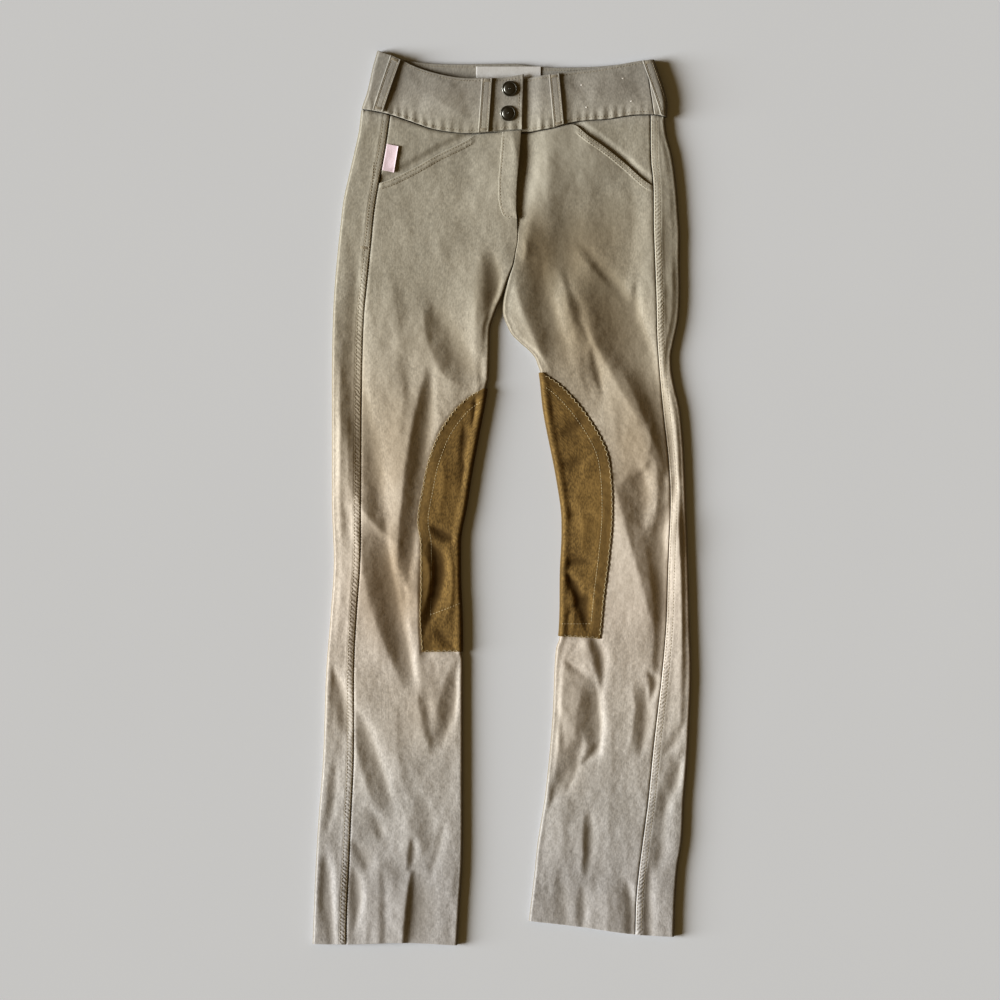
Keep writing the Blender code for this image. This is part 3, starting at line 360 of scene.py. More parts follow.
FOLDS_LEFT = folds(
    # seat and crotch
    (46, 66, 48, 124, 42, 190, 26, 64, 2.6), (22, 92, 24, 128, 24, 168, 9, 12, -1),
    (42, 106, 34, 170, 20, 236, 24, 40, 2.7), (100, 120, 104, 170, 100, 220, 30, 16, -1.5),
    (86, 84, 94, 120, 92, 170, 26, 30, 0.7), (128, 110, 136, 170, 132, 240, 42, 14, -1.8),
    (32, 130, 28, 180, 26, 220, 12, 12, 0.7), (80, 150, 72, 208, 62, 264, 44, 16, -2.8),
    (24, 200, 26, 212, 24, 224, 5, 5, 0.9), (15, 244, 24, 282, 50, 336, 9, 16, 2.2),
    (42, 220, 50, 272, 78, 340, 21, 8, -3), (66, 240, 70, 270, 82, 312, 8, 7, 1),
    (70, 232, 71, 254, 76, 274, 5, 4, -0.8), (73, 252, 83, 280, 95, 314, 5, 6, -1.7),
    # across the thigh
    (72, 206, 102, 238, 132, 276, 10, 6, 0.9), (80, 202, 109, 234, 142, 274, 5, 8, -1.3),
    (143, 244, 142, 266, 140, 292, 4, 5, -1.7), (171, 150, 168, 250, 172, 360, 30, 9, 1.7),
    (56, 226, 101, 314, 150, 400, 13, 22, 2.9), (94, 224, 146, 300, 168, 390, 40, 10, -4.2),
    (60, 300, 74, 330, 90, 362, 10, 9, 0.9), (96, 314, 101, 338, 108, 366, 4, 6, -1.6),
    # knee and shin, beside the side seam
    (124, 332, 154, 400, 180, 470, 32, 13, 2.8), (148, 326, 174, 394, 182, 474, 17, 7, -3.6),
    (158, 424, 165, 458, 160, 508, 7, 9, 1.4), (146, 440, 151, 468, 147, 508, 15, 8, -2.2),
    (184, 448, 180, 480, 168, 516, 6, 7, -2), (158, 392, 156, 420, 149, 446, 16, 8, 1.8),
    (156, 436, 139, 449, 120, 458, 12, 8, 1.3), (176, 440, 171, 476, 171, 536, 10, 6, -2.4),
    (114, 440, 134, 516, 161, 614, 22, 16, 3), (164, 500, 170, 560, 166, 670, 14, 9, -3.6),
    (150, 520, 160, 590, 158, 668, 38, 11, 2.2), (153, 658, 162, 668, 158, 688, 4, 4, -1.6),
    (138, 668, 140, 706, 132, 748, 8, 9, 1), (150, 670, 152, 706, 146, 748, 9, 5, -1.7),
    # on the patch
    (62, 548, 80, 541, 102, 543, 5, 5, -1.9), (62, 552, 80, 574, 90, 618, 5, 5, -3.2),
    (92, 566, 90, 590, 94, 616, 4, 5, -1.2), (62, 408, 76, 400, 92, 386, 6, 6, -1.2),
    (62, 498, 82, 490, 104, 500, 6, 6, -1.1), (66, 604, 78, 590, 98, 578, 5, 5, -1.2),
    (78, 470, 86, 500, 84, 534, 9, 9, 1), (62, 440, 78, 436, 96, 426, 5, 5, -1),
    (72, 566, 76, 590, 74, 618, 6, 4, 1),
    # below the patch
    (82, 622, 94, 640, 96, 686, 12, 7, 1.1), (92, 620, 106, 644, 104, 690, 6, 5, -1.7),
    (66, 644, 78, 654, 92, 664, 4, 5, -1), (68, 624, 63, 700, 54, 790, 9, 34, 1.4),
    (88, 676, 79, 706, 84, 748, 16, 14, 1.2), (95, 656, 102, 706, 102, 752, 15, 5, -3),
    (104, 732, 96, 745, 84, 756, 4, 4, -1.5), (54, 692, 62, 714, 66, 738, 6, 6, -1.2),
    (84, 726, 80, 752, 68, 786, 9, 5, -1.6), (70, 758, 60, 780, 48, 804, 7, 6, -1),
    (112, 690, 116, 760, 110, 850, 14, 13, 0.9), (86, 806, 86, 838, 84, 876, 8, 6, 1.2),
    (94, 806, 93, 838, 90, 876, 5, 5, -1.1), (64, 800, 62, 850, 52, 900, 12, 12, 0.8),
    # hem
    (85, 884, 86, 910, 86, 960, 5, 6, -1.2), (62, 860, 66, 904, 68, 960, 12, 7, -1),
    (130, 876, 137, 908, 136, 960, 6, 5, -1.6), (108, 870, 112, 904, 110, 960, 10, 10, 0.9),
    # strip outside the side seam
    (190, 170, 191, 260, 186, 330, 16, 6, 1.4), (188, 322, 181, 340, 178, 366, 5, 6, -0.8),
    (196, 708, 184, 730, 172, 744, 5, 6, -1.3), (200, 740, 187, 768, 171, 808, 8, 8, -2),
    (192, 300, 192, 500, 188, 740, 18, 6, 2.4), (172, 780, 170, 830, 164, 872, 6, 8, -1.2),
    (158, 862, 156, 904, 158, 970, 6, 5, -1.6),
)

# Creases of the back panels, which lie underneath and lift off the surface along these lines.
CREASES_RIGHT = folds(
    (-20, 150, -66, 200, -118, 214, 8, 6, 1.1), (-30, 250, -74, 292, -128, 300, 6, 8, 1.2),
    (-60, 356, -86, 392, -126, 402, 6, 6, 1), (-140, 420, -118, 470, -74, 486, 7, 5, 1.2),
    (-60, 552, -96, 566, -138, 560, 5, 6, 1), (-150, 640, -118, 690, -96, 760, 7, 6, 1.1),
    (-70, 690, -78, 760, -66, 830, 6, 8, 0.9), (-120, 846, -116, 900, -118, 975, 6, 5, 0.9),
)
CREASES_LEFT = folds(
    (28, 140, 72, 188, 136, 196, 7, 7, 1.1), (36, 226, 84, 262, 140, 256, 6, 8, 1.2),
    (58, 340, 92, 366, 128, 404, 7, 6, 1.1), (84, 420, 112, 470, 132, 540, 7, 6, 1.2),
    (74, 560, 104, 574, 140, 560, 5, 6, 1), (92, 640, 112, 700, 104, 780, 7, 7, 1.1),
    (132, 700, 140, 760, 128, 830, 6, 7, 0.9), (84, 846, 80, 896, 76, 960, 6, 5, 0.9),
)

# Folds of the front waistband.
BAND_FOLDS = folds(
    (-104, 26, -66, 54, -33, 72, 15, 22, 1.5), (-92, 16, -84, 40, -88, 64, 9, 11, -0.7),
    (-52, 34, -40, 48, -34, 66, 9, 8, -0.6), (64, 34, 90, 48, 138, 52, 12, 14, 0.9),
    (70, 30, 84, 42, 92, 58, 7, 8, -0.7), (118, 20, 140, 34, 150, 58, 10, 12, -0.9),
)

# Hem lines, as (x, down).
HEM_RIGHT = [(-201, 946), (-161, 946.4), (-108, 944.8), (-46, 947.4)]
HEM_LEFT = [(28, 921.5), (84, 928), (141, 936), (183, 938.5)]

RIGHT = Half("right", 1.0, OUTER_RIGHT, SEAM_RIGHT, INNER_RIGHT, FOLDS_RIGHT, FRONT_TOP_RIGHT,
             POCKET_RIGHT, PATCH_RIGHT, [(-84.6, 637.0), (-44.0, 636.5)],
             [(-76.1, 597.8), (-43.5, 585.1)], HEM_RIGHT)
LEFT = Half("left", -1.0, OUTER_LEFT, SEAM_LEFT, INNER_LEFT, FOLDS_LEFT, FRONT_TOP_LEFT,
            POCKET_LEFT, PATCH_LEFT, [(59.0, 620.0), (104.5, 623.0)],
            [(94.5, 606.9), (63.5, 606.9)], HEM_LEFT)


# ---- curves and heights

def settings():
    """Sizes and colours that a user sets in the panel."""
    return bpy.context.scene.breeches_cloth


def ease(t):
    """0 up to t = 0, 1 from t = 1, and a smooth rise between."""
    t = np.clip(t, 0.0, 1.0)
    return t * t * (3.0 - 2.0 * t)


def curve(table, at):
    """A smooth curve through the rows of a table, with no overshoot between them."""
    keys, values = np.array(table, dtype=float).T
    step = np.diff(keys)
    slope = np.diff(values) / step
    tangent = np.concatenate(([slope[0]], 0.5 * (slope[1:] + slope[:-1]), [slope[-1]]))
    tangent[1:-1][slope[1:] * slope[:-1] <= 0.0] = 0.0
    at = np.asarray(at, dtype=float)
    inside = np.clip(at, keys[0], keys[-1])
    k = np.clip(np.searchsorted(keys, inside, side="right") - 1, 0, len(step) - 1)
    t = (inside - keys[k]) / step[k]
    found = values[k] + (values[k + 1] - values[k]) * t * t * (3.0 - 2.0 * t)
    found += step[k] * t * (1.0 - t) * (tangent[k] * (1.0 - t) - tangent[k + 1] * t)
    return found + (at - inside) * np.where(at < inside, tangent[0], tangent[-1])


def slope_of(table, at):
    """Slope of a table's curve, and how much longer the curve is than its run."""
    slope = 0.5 * (curve(table, at + 1.0) - curve(table, at - 1.0))
    return slope, np.sqrt(1.0 + slope ** 2)


def uneven(x, down, size, seed):
    """Smooth noise from -1 to 1: random values on a square lattice, blended between its corners."""
    lattice = np.random.default_rng(seed).uniform(-1.0, 1.0, (97, 97))
    across = x / size + 40.0
    along = down / size
    i, j = np.floor(across).astype(int), np.floor(along).astype(int)
    u, v = ease(across - i), ease(along - j)
    near, far = (lattice[i % 97, row % 97] * (1.0 - u) + lattice[(i + 1) % 97, row % 97] * u
                 for row in (j, j + 1))
    return near * (1.0 - v) + far * v


def fold_height(fold, x, down):
    """Height that one fold adds.

    The line bends through the fold's three places. Across it the height falls off as
    exp(-(s / width) ** sharpness), with a width of its own on each side. Towards both of its ends the
    fold grows narrow and dies away, as the sine of half a turn along it.
    """
    t = np.linspace(0.0, 1.0, LINE_STEPS + 1)
    bend = 4.0 * t * (1.0 - t)
    first, middle, last = np.array(fold[:6], dtype=float).reshape(3, 2, 1)
    line_x, line_d = first + (last - first) * t + (middle - 0.5 * (first + last)) * bend
    reach = FOLD_REACH * max(fold.left, fold.right)
    near = (x > line_x.min() - reach) & (x < line_x.max() + reach)
    near &= (down > line_d.min() - reach) & (down < line_d.max() + reach)
    added = np.zeros_like(x)
    from_x, from_d = x[near][:, None] - line_x[:-1], down[near][:, None] - line_d[:-1]
    step_x, step_d = np.diff(line_x), np.diff(line_d)
    share = np.clip((from_x * step_x + from_d * step_d) / (step_x ** 2 + step_d ** 2), 0.0, 1.0)
    off_x, off_d = from_x - share * step_x, from_d - share * step_d
    away = off_x ** 2 + off_d ** 2
    best = np.argmin(away, axis=1)
    pick = (np.arange(len(best)), best)
    along = (best + share[pick]) / LINE_STEPS
    on_right = step_x[best] * off_d[pick] < step_d[best] * off_x[pick]
    swell = np.sin(math.pi * np.clip(along, 0.015, 0.985))
    width = np.where(on_right, fold.right, fold.left) * (FOLD_TAPER + (1.0 - FOLD_TAPER) * swell)
    across = np.sqrt(away[pick] + CREST ** 2) - CREST
    added[near] = fold.height * swell ** 0.75 * np.exp(-(across / width) ** SHARPNESS[fold.height > 0.0])
    return added


def edge_radius(down):
    """Radius of the rolled outer and inner edges: half the loft."""
    return 0.5 * curve(LOFT, down)


def turn_angle(down):
    """How far an inner edge turns over: nothing in the seat, a quarter turn down the leg."""
    return 0.5 * math.pi * ease((down - CROTCH[0]) / (CROTCH[1] - CROTCH[0]))


def inner_edge(half, down):
    """Inner edge of the half, drawn in where the knee patch lies outside it."""
    first, last = half.patch[1][0], half.patch[-1][0]
    starts = ease((down - first) / PATCH_EASE + 1.0)
    ends = ease((last - down) / PATCH_EASE + 1.0)
    return curve(half.inner, down) - half.way * (REST_GAP + SUEDE) * starts * ends


def fly_drop(half, x, down):
    """How much lower the left front lies where it runs under the fly."""
    if half.way > 0.0:
        return np.zeros_like(x)
    past = x - curve(INNER_RIGHT, down)
    along = ease((down - FLY_END - FLY_RISE[0]) / FLY_RISE[1])
    return FLY_DROP * (1.0 - along) * (1.0 - ease((past - FLY_SIDE[0]) / FLY_SIDE[1]))


def patch_sink(half, x, down):
    """Depth that the front sinks under its knee patch, so that the patch's edge lies nearly flush."""
    outside, width = PATCH_DIP
    inward = half.way * (x - curve(half.patch, down))
    inside = ease((inward + outside) / width) * ease((down - half.patch[0][0]) / (2.0 * width))
    return PATCH_SINK * inside * ease((curve(half.patch_end, x) + outside - down) / width)


def front_height(half, x, down):
    """Height of the outside of the front: the loft, the folds, and the cloth's own unevenness.

    What lies under the loft is held above the floor of the front by a hyperbolic tangent.
    """
    loft = curve(LOFT, down)
    radius = 0.5 * loft
    from_outer = np.abs(curve(half.outer, down) - x) - radius
    from_inner = np.abs(inner_edge(half, down) - x) - radius
    turning = 2.0 * turn_angle(down) / math.pi
    fade = (1.0 - turning * (1.0 - ease(from_inner / FOLD_FADE))) * ease(from_outer / FOLD_FADE)
    relief = sum(fold_height(fold, x, down) for fold in half.folds)
    for height, shrink, size, seed in UNEVEN:
        relief = relief + height * uneven(x, shrink * down, size, seed)
    relief = settings().fold_depth * fade * (relief - patch_sink(half, x, down))
    room = loft - FRONT_FLOOR
    relief = np.where(relief < 0.0, -room * np.tanh(-relief / room), relief)
    return loft + relief - fly_drop(half, x, down)


def groove(distance):
    """Depth that a stitch row pulls into the cloth at a distance from it."""
    return GROOVE[0] * np.exp(-(distance / GROOVE[1]) ** 2)


def seam_sink(x, down, seam_distance):
    """Depth that a panel sinks beside its side seam and under the lower edge of the waistband."""
    beside_seam = SEAM_SINK[0] * np.exp(-(seam_distance / SEAM_SINK[1]) ** 2)
    return beside_seam + BAND_SINK[0] * np.exp(-((down - curve(BAND_SEAM, x)) / BAND_SINK[1]) ** 2)


def pulled_flat(half, down):
    """1 where the lap of the side seam lies pulled flat, at the knee of the left leg."""
    flat = ease((down - FLAT_LAP[0]) / FLAT_EASE) * ease((FLAT_LAP[1] - down) / FLAT_EASE)
    return flat * (half.way < 0.0)


def lap_mask(half, seam_distance, down):
    """1 between the two rows of a lapped seam, where the cloth is drawn into diagonal puckers."""
    inside = ease(seam_distance / LAP_EASE) * ease((LAP_WIDTH - seam_distance) / LAP_EASE)
    start, length = LAP_START[half.side]
    inside = inside * ease((down - start) / length) * (1.0 - pulled_flat(half, down))
    return inside * (0.7 + 0.3 * uneven(down, down, 52.0, 17))


# ---- paths round a half

def columns_along(lengths, counts):
    """Place of each column along a path made of stretches, each cut into its count of columns."""
    column = np.arange(sum(counts) + 1)
    place = 0.0
    first = 0
    for length, count in zip(lengths, counts):
        place = place + length * np.clip((column - first) / count, 0.0, 1.0)
        first += count
    return place


def columns_across(width, count, wall):
    """Columns over a width, close together round both rims."""
    return columns_along([0.5 * wall, width - wall, 0.5 * wall], [RIM_COLUMNS, count, RIM_COLUMNS])


def rows_along(first, last, spacing, wall, close=0.0):
    """Row places from first to last: close round the rims, and half as far apart over the first rows."""
    rim = wall * 0.5 * np.arange(RIM_COLUMNS) / RIM_COLUMNS
    near = np.arange(first + 0.5 * wall, first + 0.5 * wall + close, 0.5 * spacing)
    start = first + 0.5 * wall + 0.5 * spacing * len(near)
    count = int((last - 0.5 * wall - start) / spacing)
    return np.concatenate([first + rim, near, np.linspace(start, last - 0.5 * wall, count + 1),
                           (last - rim)[::-1]])


def unit_grid(length, width, count, wall, spacing):
    """v down the rows and u across the columns of a small piece, both from 0 to 1."""
    rows = rows_along(0.0, length, spacing, wall) / length
    return np.meshgrid(rows, columns_across(width, count, wall) / width, indexing="ij")


def front_path(half, down, start, wrap, columns, wall):
    """Grid across the front from start to the inner edge and over it: x, flat x, place and drop.

    The flat stretch takes the front's height at its own x. The inner edge is an arc through turn_angle,
    with its height at flat x less radius times 1 - cos(turned). wrap carries it on, for a patch.
    """
    way = half.way
    radius = edge_radius(down)
    angle = turn_angle(down)
    underlap = UNDERLAP * (1.0 - ease((down - FLY_END) / UNDERLAP_END)) if way < 0.0 else 0.0
    edge = inner_edge(half, down) + way * (underlap - 0.5 * SEAM_GAP * np.cos(angle))
    flat_end = edge - way * radius * np.sin(angle)
    flat = way * (flat_end - start)
    total = flat + radius * (angle + wrap) - 0.5 * SEAM_GAP * np.sin(angle)
    rim = 0.5 * wall
    roll = np.minimum(EDGE_BAND, 0.7 * total)
    place = columns_along([rim, total - roll - wall, roll, rim],
                          [RIM_COLUMNS, columns, ROLL_COLUMNS, RIM_COLUMNS])
    turned = np.maximum(place - flat, 0.0) / radius
    over = place > flat
    x = np.where(over, flat_end + way * radius * np.sin(turned), start + way * place)
    return x, np.where(over, flat_end, x), place, radius * (1.0 - np.cos(turned))


def wrapped(place, start, way, strip, radius, under):
    """x and height of places along a strip that runs out, rolls under, runs back, turns up and runs out.

    The rolls are half circles: x goes with the radius times the sine, and the height with its cosine.
    """
    past = place - strip - math.pi * radius
    first = np.clip((place - strip) / radius, 0.0, math.pi)
    second = np.clip((past - under) / radius, 0.0, math.pi)
    x = start - way * np.minimum(place, strip) - way * radius * np.sin(first)
    x = x + way * np.clip(past, 0.0, under) + way * radius * np.sin(second)
    x = x - way * np.maximum(past - under - math.pi * radius, 0.0)
    return x, radius * (1.0 + np.cos(first)) + radius * (1.0 - np.cos(second))


def back_path(half, down):
    """Grid across a back panel, from the side seam outwards and under: x, flat x, place and rise.

    The strip over the front comes first, with columns of its own for the lapped edge, then the outer
    edge, the underside at height 0, and the inner edge, which turns up through turn_angle.
    """
    way = half.way
    radius = edge_radius(down)
    angle = turn_angle(down)
    start = curve(half.seam, down) - way * 0.5 * SEAM_GAP
    roll_x = curve(half.outer, down) + way * radius
    edge = inner_edge(half, down) - way * 0.5 * SEAM_GAP * np.cos(angle)
    flat_end = edge - way * radius * np.sin(angle)
    strip = way * (start - roll_x)
    lap = np.minimum(1.18 * LAP_WIDTH, 0.75 * strip)
    roll = math.pi * radius
    under = way * (flat_end - roll_x)
    turn = radius * angle - 0.5 * SEAM_GAP * np.sin(angle)
    rim = 0.5 * WALL
    place = columns_along([rim, lap - rim, strip - lap, roll, under + turn - EDGE_BAND - rim, EDGE_BAND, rim],
                          BACK_COLUMNS)
    x, rise = wrapped(place, start, way, strip, radius, under)
    return x, np.where(place < strip, x, roll_x), place, rise


def settle(nominal, path, upper, lower):
    """Places down of a grid whose rows follow its top edge, level out, and meet the hem.

    x hangs on down and down on x, so they are worked out again until they agree.
    """
    level = 1.0 - ease((nominal - PANEL_TOP) / BLEND)
    low = ease((nominal - LENGTH + BLEND) / BLEND)
    down = nominal
    for _ in range(10):
        x = path(down)[0]
        down = nominal + (curve(upper, x) - PANEL_TOP) * level + (curve(lower, x) - LENGTH) * low
    return down


# ---- surfaces and shells

def outward(points):
    """Unit normals of a grid of points, and 1 or -1 as its rows turn onto its columns outwards or not.

    A normal is the cross product of the two directions of the grid, pointing up near the first column.
    """
    cross = np.cross(np.gradient(points, axis=0), np.gradient(points, axis=1))
    sign = np.sign(cross[:, RIM_COLUMNS:RIM_COLUMNS + 4, 2].sum())
    return sign * cross / np.maximum(np.linalg.norm(cross, axis=-1, keepdims=True), 1e-9), sign


def add_object(name, data):
    """An object with this mesh, light or camera, in the scene."""
    made = bpy.data.objects.new(name, data)
    bpy.context.scene.collection.objects.link(made)
    return made


def to_world(points):
    """World places in metres of points given as x, down and height in millimetres."""
    flat = points.reshape(-1, 3)
    return np.stack([flat[:, 0], 0.5 * LENGTH - flat[:, 1], flat[:, 2]], -1) * MM


def cells(number):
    """The four corner numbers of every cell of a grid, or of grids, of numbers."""
    corners = [number[..., :-1, :-1], number[..., :-1, 1:], number[..., 1:, 1:], number[..., 1:, :-1]]
    return np.stack(corners, -1).reshape(-1, 4)


def new_piece(name, places, faces, material, uv=None, marks=None):
    """A smooth mesh object at the origin, riding on the garment, with its UV map in metres of cloth.

    marks are values by name, one for each point, which the materials read.
    """
    mesh = bpy.data.meshes.new(name)
    mesh.from_pydata(places.tolist(), [], faces)
    if uv is not None:
        corner = np.empty(len(mesh.loops), dtype=np.int32)
        mesh.loops.foreach_get("vertex_index", corner)
        layer = mesh.uv_layers.new(name="cloth")
        layer.data.foreach_set("uv", uv[corner].astype(np.float32).ravel())
    for label, values in (marks or {}).items():
        layer = mesh.attributes.new(label, "FLOAT", "POINT")
        layer.data.foreach_set("value", values.astype(np.float32))
    mesh.shade_smooth()
    mesh.materials.append(material)
    piece = add_object(name, mesh)
    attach(piece, "root")
    return piece


def shell(name, points, uv, thickness, material, lift=0.0, relief=0.0, lap=0.0):
    """Closed shell of cloth on a grid of x, down and height, with a half-round rim on all four sides.

    name is the solid that it stands for, and uv the place across and down the cloth. The middle surface
    is half a thickness in from the outside, and each face stands off it by half the thickness times the
    root of 1 - (1 - s)**2, where s runs from 0 at the border to 1 at the end of the rim. lift moves the
    piece out along its normals. Its marks are the relief, its height above the cloth's mean height, the
    turn, which grows where it turns on edge, and the lap, which is 1 on a puckered seam.
    """
    points = np.stack(points, -1)
    uv = np.stack(uv, -1).reshape(-1, 2)
    rows, columns = points.shape[:2]
    row, column = (np.minimum(np.arange(count), np.arange(count)[::-1]) for count in (rows, columns))
    share = np.clip(np.minimum(row[:, None], column) / RIM_COLUMNS, 0.0, 1.0)
    stand = 0.5 * thickness * np.sqrt(1.0 - (1.0 - share) ** 2)[..., None]
    normals, sign = outward(points)
    middle = points + (lift - 0.5 * thickness) * normals
    number = np.arange(rows * columns).reshape(rows, columns)
    far = number + rows * columns
    for border in ((0, slice(None)), (-1, slice(None)), (slice(None), 0), (slice(None), -1)):
        far[border] = number[border]
    faces = np.concatenate([cells(number), cells(far)[:, ::-1]])
    if sign < 0.0:
        faces = faces[:, ::-1]
    used, faces = np.unique(faces, return_inverse=True)
    places = np.concatenate([to_world(middle + stand * normals), to_world(middle - stand * normals)])
    plain = np.zeros(number.shape)
    marks = {"relief": plain + relief / FULL_RELIEF, "turn": 1.0 - np.abs(normals[..., 2]),
             "lap": plain + lap}
    marks = {label: np.tile(values.ravel(), 2)[used] for label, values in marks.items()}
    return new_piece(name + "_cloth", places[used], faces.reshape(-1, 4).tolist(), material,
                     np.tile(uv, (2, 1))[used] * MM, marks)


def stand_for(piece):
    """Hides the solid that a cloth piece is named for, which the piece stands in for."""
    solid = piece.name.removesuffix("_cloth")
    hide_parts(solid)


# ---- pockets and seams

def below_pocket(half, x, down):
    """Distance below the pocket edge, place along it, and a mask that is 1 between its ends."""
    stretch = slope_of(half.pocket, x)[1]
    ends = np.minimum(x - half.pocket[0][0], half.pocket[-1][0] - x)
    return (down - curve(half.pocket, x)) / stretch, x * stretch, ends


def pocket_lip(half, x, down):
    """Height that the pocket edge adds: it gapes, is double up to its second stitch row, and is ticked.

    The ticks are a sine along the edge, kept between the two rows.
    """
    below, along, ends = below_pocket(half, x, down)
    inside = ease(ends / 3.0) * (below > -1.0)
    gape = POCKET_GAPE * ease(ends / POCKET_FADE) * (1.0 - ease(below / POCKET_LIP))
    double = POCKET_DOUBLE * (1.0 - ease((below - POCKET_ROWS[1] + 0.6) / 1.4))
    window = ease((below - 1.4) / 1.0) * ease((POCKET_ROWS[1] + 0.2 - below) / 1.0)
    wander = 0.8 * uneven(along, along, 17.0, 23)
    ticks = TICK[1] * window * np.sin(TURN * along / TICK[0] + wander)
    rows = groove(below - POCKET_ROWS[0]) + groove(below - POCKET_ROWS[1])
    return inside * (gape + double + ticks - rows)


def strip_height(half, x, down):
    """Height of the back panel's strip over the front: the front's, with the lapped edge and its rows."""
    seam_distance = half.way * (curve(half.seam, down) - x) - 0.5 * SEAM_GAP
    strip = half.way * (curve(half.seam, down) - curve(half.outer, down)) - edge_radius(down)
    lap = np.minimum(LAP_WIDTH, LAP_SHARE * strip)
    raised = LAP_RISE * (1.0 - ease((seam_distance - lap) / (LAP_STEP * lap)))
    raised = raised * (1.0 - FLAT_SHARE * pulled_flat(half, down))
    rows = groove(seam_distance - LAP_ROWS[0]) + groove(seam_distance - LAP_ROWS[1])
    return front_height(half, x, down) + raised - rows - seam_sink(x, down, seam_distance)


def facing_height(half, x, down):
    """Height of the pocket facing, which sinks under the pocket edge."""
    above_edge = curve(half.pocket, x) - down
    under = ease((POCKET_SLOPE[0] - above_edge) / (POCKET_SLOPE[0] - POCKET_SLOPE[1]))
    sunk = seam_sink(x, down, x - curve(half.seam, down))
    return front_height(half, x, down) - POCKET_DROP * under - sunk


def front_surface(half, x, down):
    """Height of the front panel with its pocket lip, sunk along its seams."""
    sunk = seam_sink(x, down, x - curve(half.seam, down))
    return front_height(half, x, down) + pocket_lip(half, x, down) - sunk


# ---- cloth pieces of a half

def panel_rows(columns, close=0.0):
    """Nominal places down of a panel's grid."""
    return np.repeat(rows_along(PANEL_TOP, LENGTH, ROW_GRID, WALL, close)[:, None], columns, axis=1)


def front_panel(half, twill):
    """The front's own surface, from the side seam across to the inner edge and over it."""
    nominal = panel_rows(FRONT_COLUMNS + ROLL_COLUMNS + 2 * RIM_COLUMNS + 1, CLOSE_ROWS)

    def path(down):
        start = curve(half.seam, down) + half.way * 0.5 * SEAM_GAP
        return front_path(half, down, start, 0.0, FRONT_COLUMNS, WALL)

    down = settle(nominal, path, half.front_top, half.hem)
    x, flat_x, place, drop = path(down)
    height = front_surface(half, flat_x, down)
    return shell("front_panel_" + half.side, (x, down, height - drop), (place, down), WALL, twill,
                 relief=height - curve(LOFT, down))


def back_panel(half, creases, twill):
    """One sheet: the strip over the front, round the outer edge, and the creased underside."""
    gaps = [SEAM_GAP + (UNDER_SLACK if BACK_FLAT[0] < x < BACK_FLAT[1] else 0.0) for x, _ in BACK_SEAM]
    below_band = [(x, down + gap) for (x, down), gap in zip(BACK_SEAM, gaps)]
    down = settle(panel_rows(sum(BACK_COLUMNS) + 1), partial(back_path, half), below_band, half.hem)
    x, flat_x, place, rise = back_path(half, down)
    on_top = rise > curve(LOFT, down) - 1e-6
    height = np.where(on_top, strip_height(half, flat_x, down), rise)
    relief = np.where(on_top, front_height(half, flat_x, down) - curve(LOFT, down), 0.0)
    lift = np.maximum(sum(fold_height(fold, x, down) for fold in creases), 0.0)
    room = front_height(half, x, down) - 2.0 * WALL - CREASE_ROOM
    height = height + np.where(rise < UNDERSIDE, np.clip(np.minimum(lift, room), 0.0, None), 0.0)
    return shell("back_panel_" + half.side, (x, down, height), (place, down), WALL, twill, relief=relief,
                 lap=np.where(on_top, lap_mask(half, place, down), 0.0))


def pocket_facing(half, twill):
    """Fills the corner above the slanted pocket edge and runs on under it."""
    inner_end = half.pocket[-1][0] if half.way > 0.0 else half.pocket[0][0]
    far_end = inner_end + half.way * FACING_PAST
    v, u = unit_grid(*FACING_GRID)
    down = PANEL_TOP * (1.0 - v) + half.pocket[0][1] * v
    for _ in range(10):
        x = (curve(half.seam, down) + half.way * SEAM_GAP) * (1.0 - u) + far_end * u
        upper = curve(BAND_SEAM, x) + SEAM_GAP
        down = upper + (curve(half.pocket, x) + POCKET_OVERLAP - upper) * v
    height = facing_height(half, x, down)
    return shell("pocket_facing_" + half.side, (x, down, height), (x, down), WALL, twill)


def patch_creases(half, x, down):
    """Small creases of the suede across its outer border, and the groove of its inner stitch row.

    They are a wandering sine along the border, strong in places and weak in others.
    """
    pitch, height, floor = PATCH_CREASE
    stretch = slope_of(half.patch, down)[1]
    inward = half.way * (x - curve(half.patch, down)) / stretch
    wander = 1.6 * uneven(down, down, 19.0, 31)
    ripple = np.sin(TURN * down * stretch / pitch + 0.16 * inward + wander)
    window = ease(inward / 2.0) * ease((PATCH_ROW + 2.0 - inward) / 5.0)
    strength = 0.5 + 0.5 * uneven(down, down, 43.0, 37)
    return np.maximum(height * strength * window * ripple, floor) - 0.6 * groove(inward - PATCH_ROW)


def knee_patch(half, suede):
    """The front's own surface, from the patch's outer edge on round the inner edge, moved out."""
    last = half.patch[-1][0]
    rows = rows_along(half.patch[1][0] + 2.0, last, GRID, SUEDE)
    nominal = np.repeat(rows[:, None], PATCH_COLUMNS + ROLL_COLUMNS + 2 * RIM_COLUMNS + 1, axis=1)

    def path(down):
        corner = inner_edge(half, down) - half.way * (edge_radius(down) + 1.5)
        start = half.way * np.minimum(half.way * curve(half.patch, down), half.way * corner)
        return front_path(half, down, start, math.radians(PATCH_TURN), PATCH_COLUMNS, SUEDE)

    low = ease((nominal - last + 60.0) / 60.0)
    down = nominal
    for _ in range(8):
        down = nominal + (curve(half.patch_end, path(down)[0]) - last) * low
    x, flat_x, place, drop = path(down)
    height = front_height(half, flat_x, down) + patch_creases(half, flat_x, down)
    return shell("knee_patch_" + half.side, (x, down, height - drop), (place, down), SUEDE, suede,
                 lift=REST_GAP + SUEDE, relief=height - curve(LOFT, down) + PATCH_SINK)


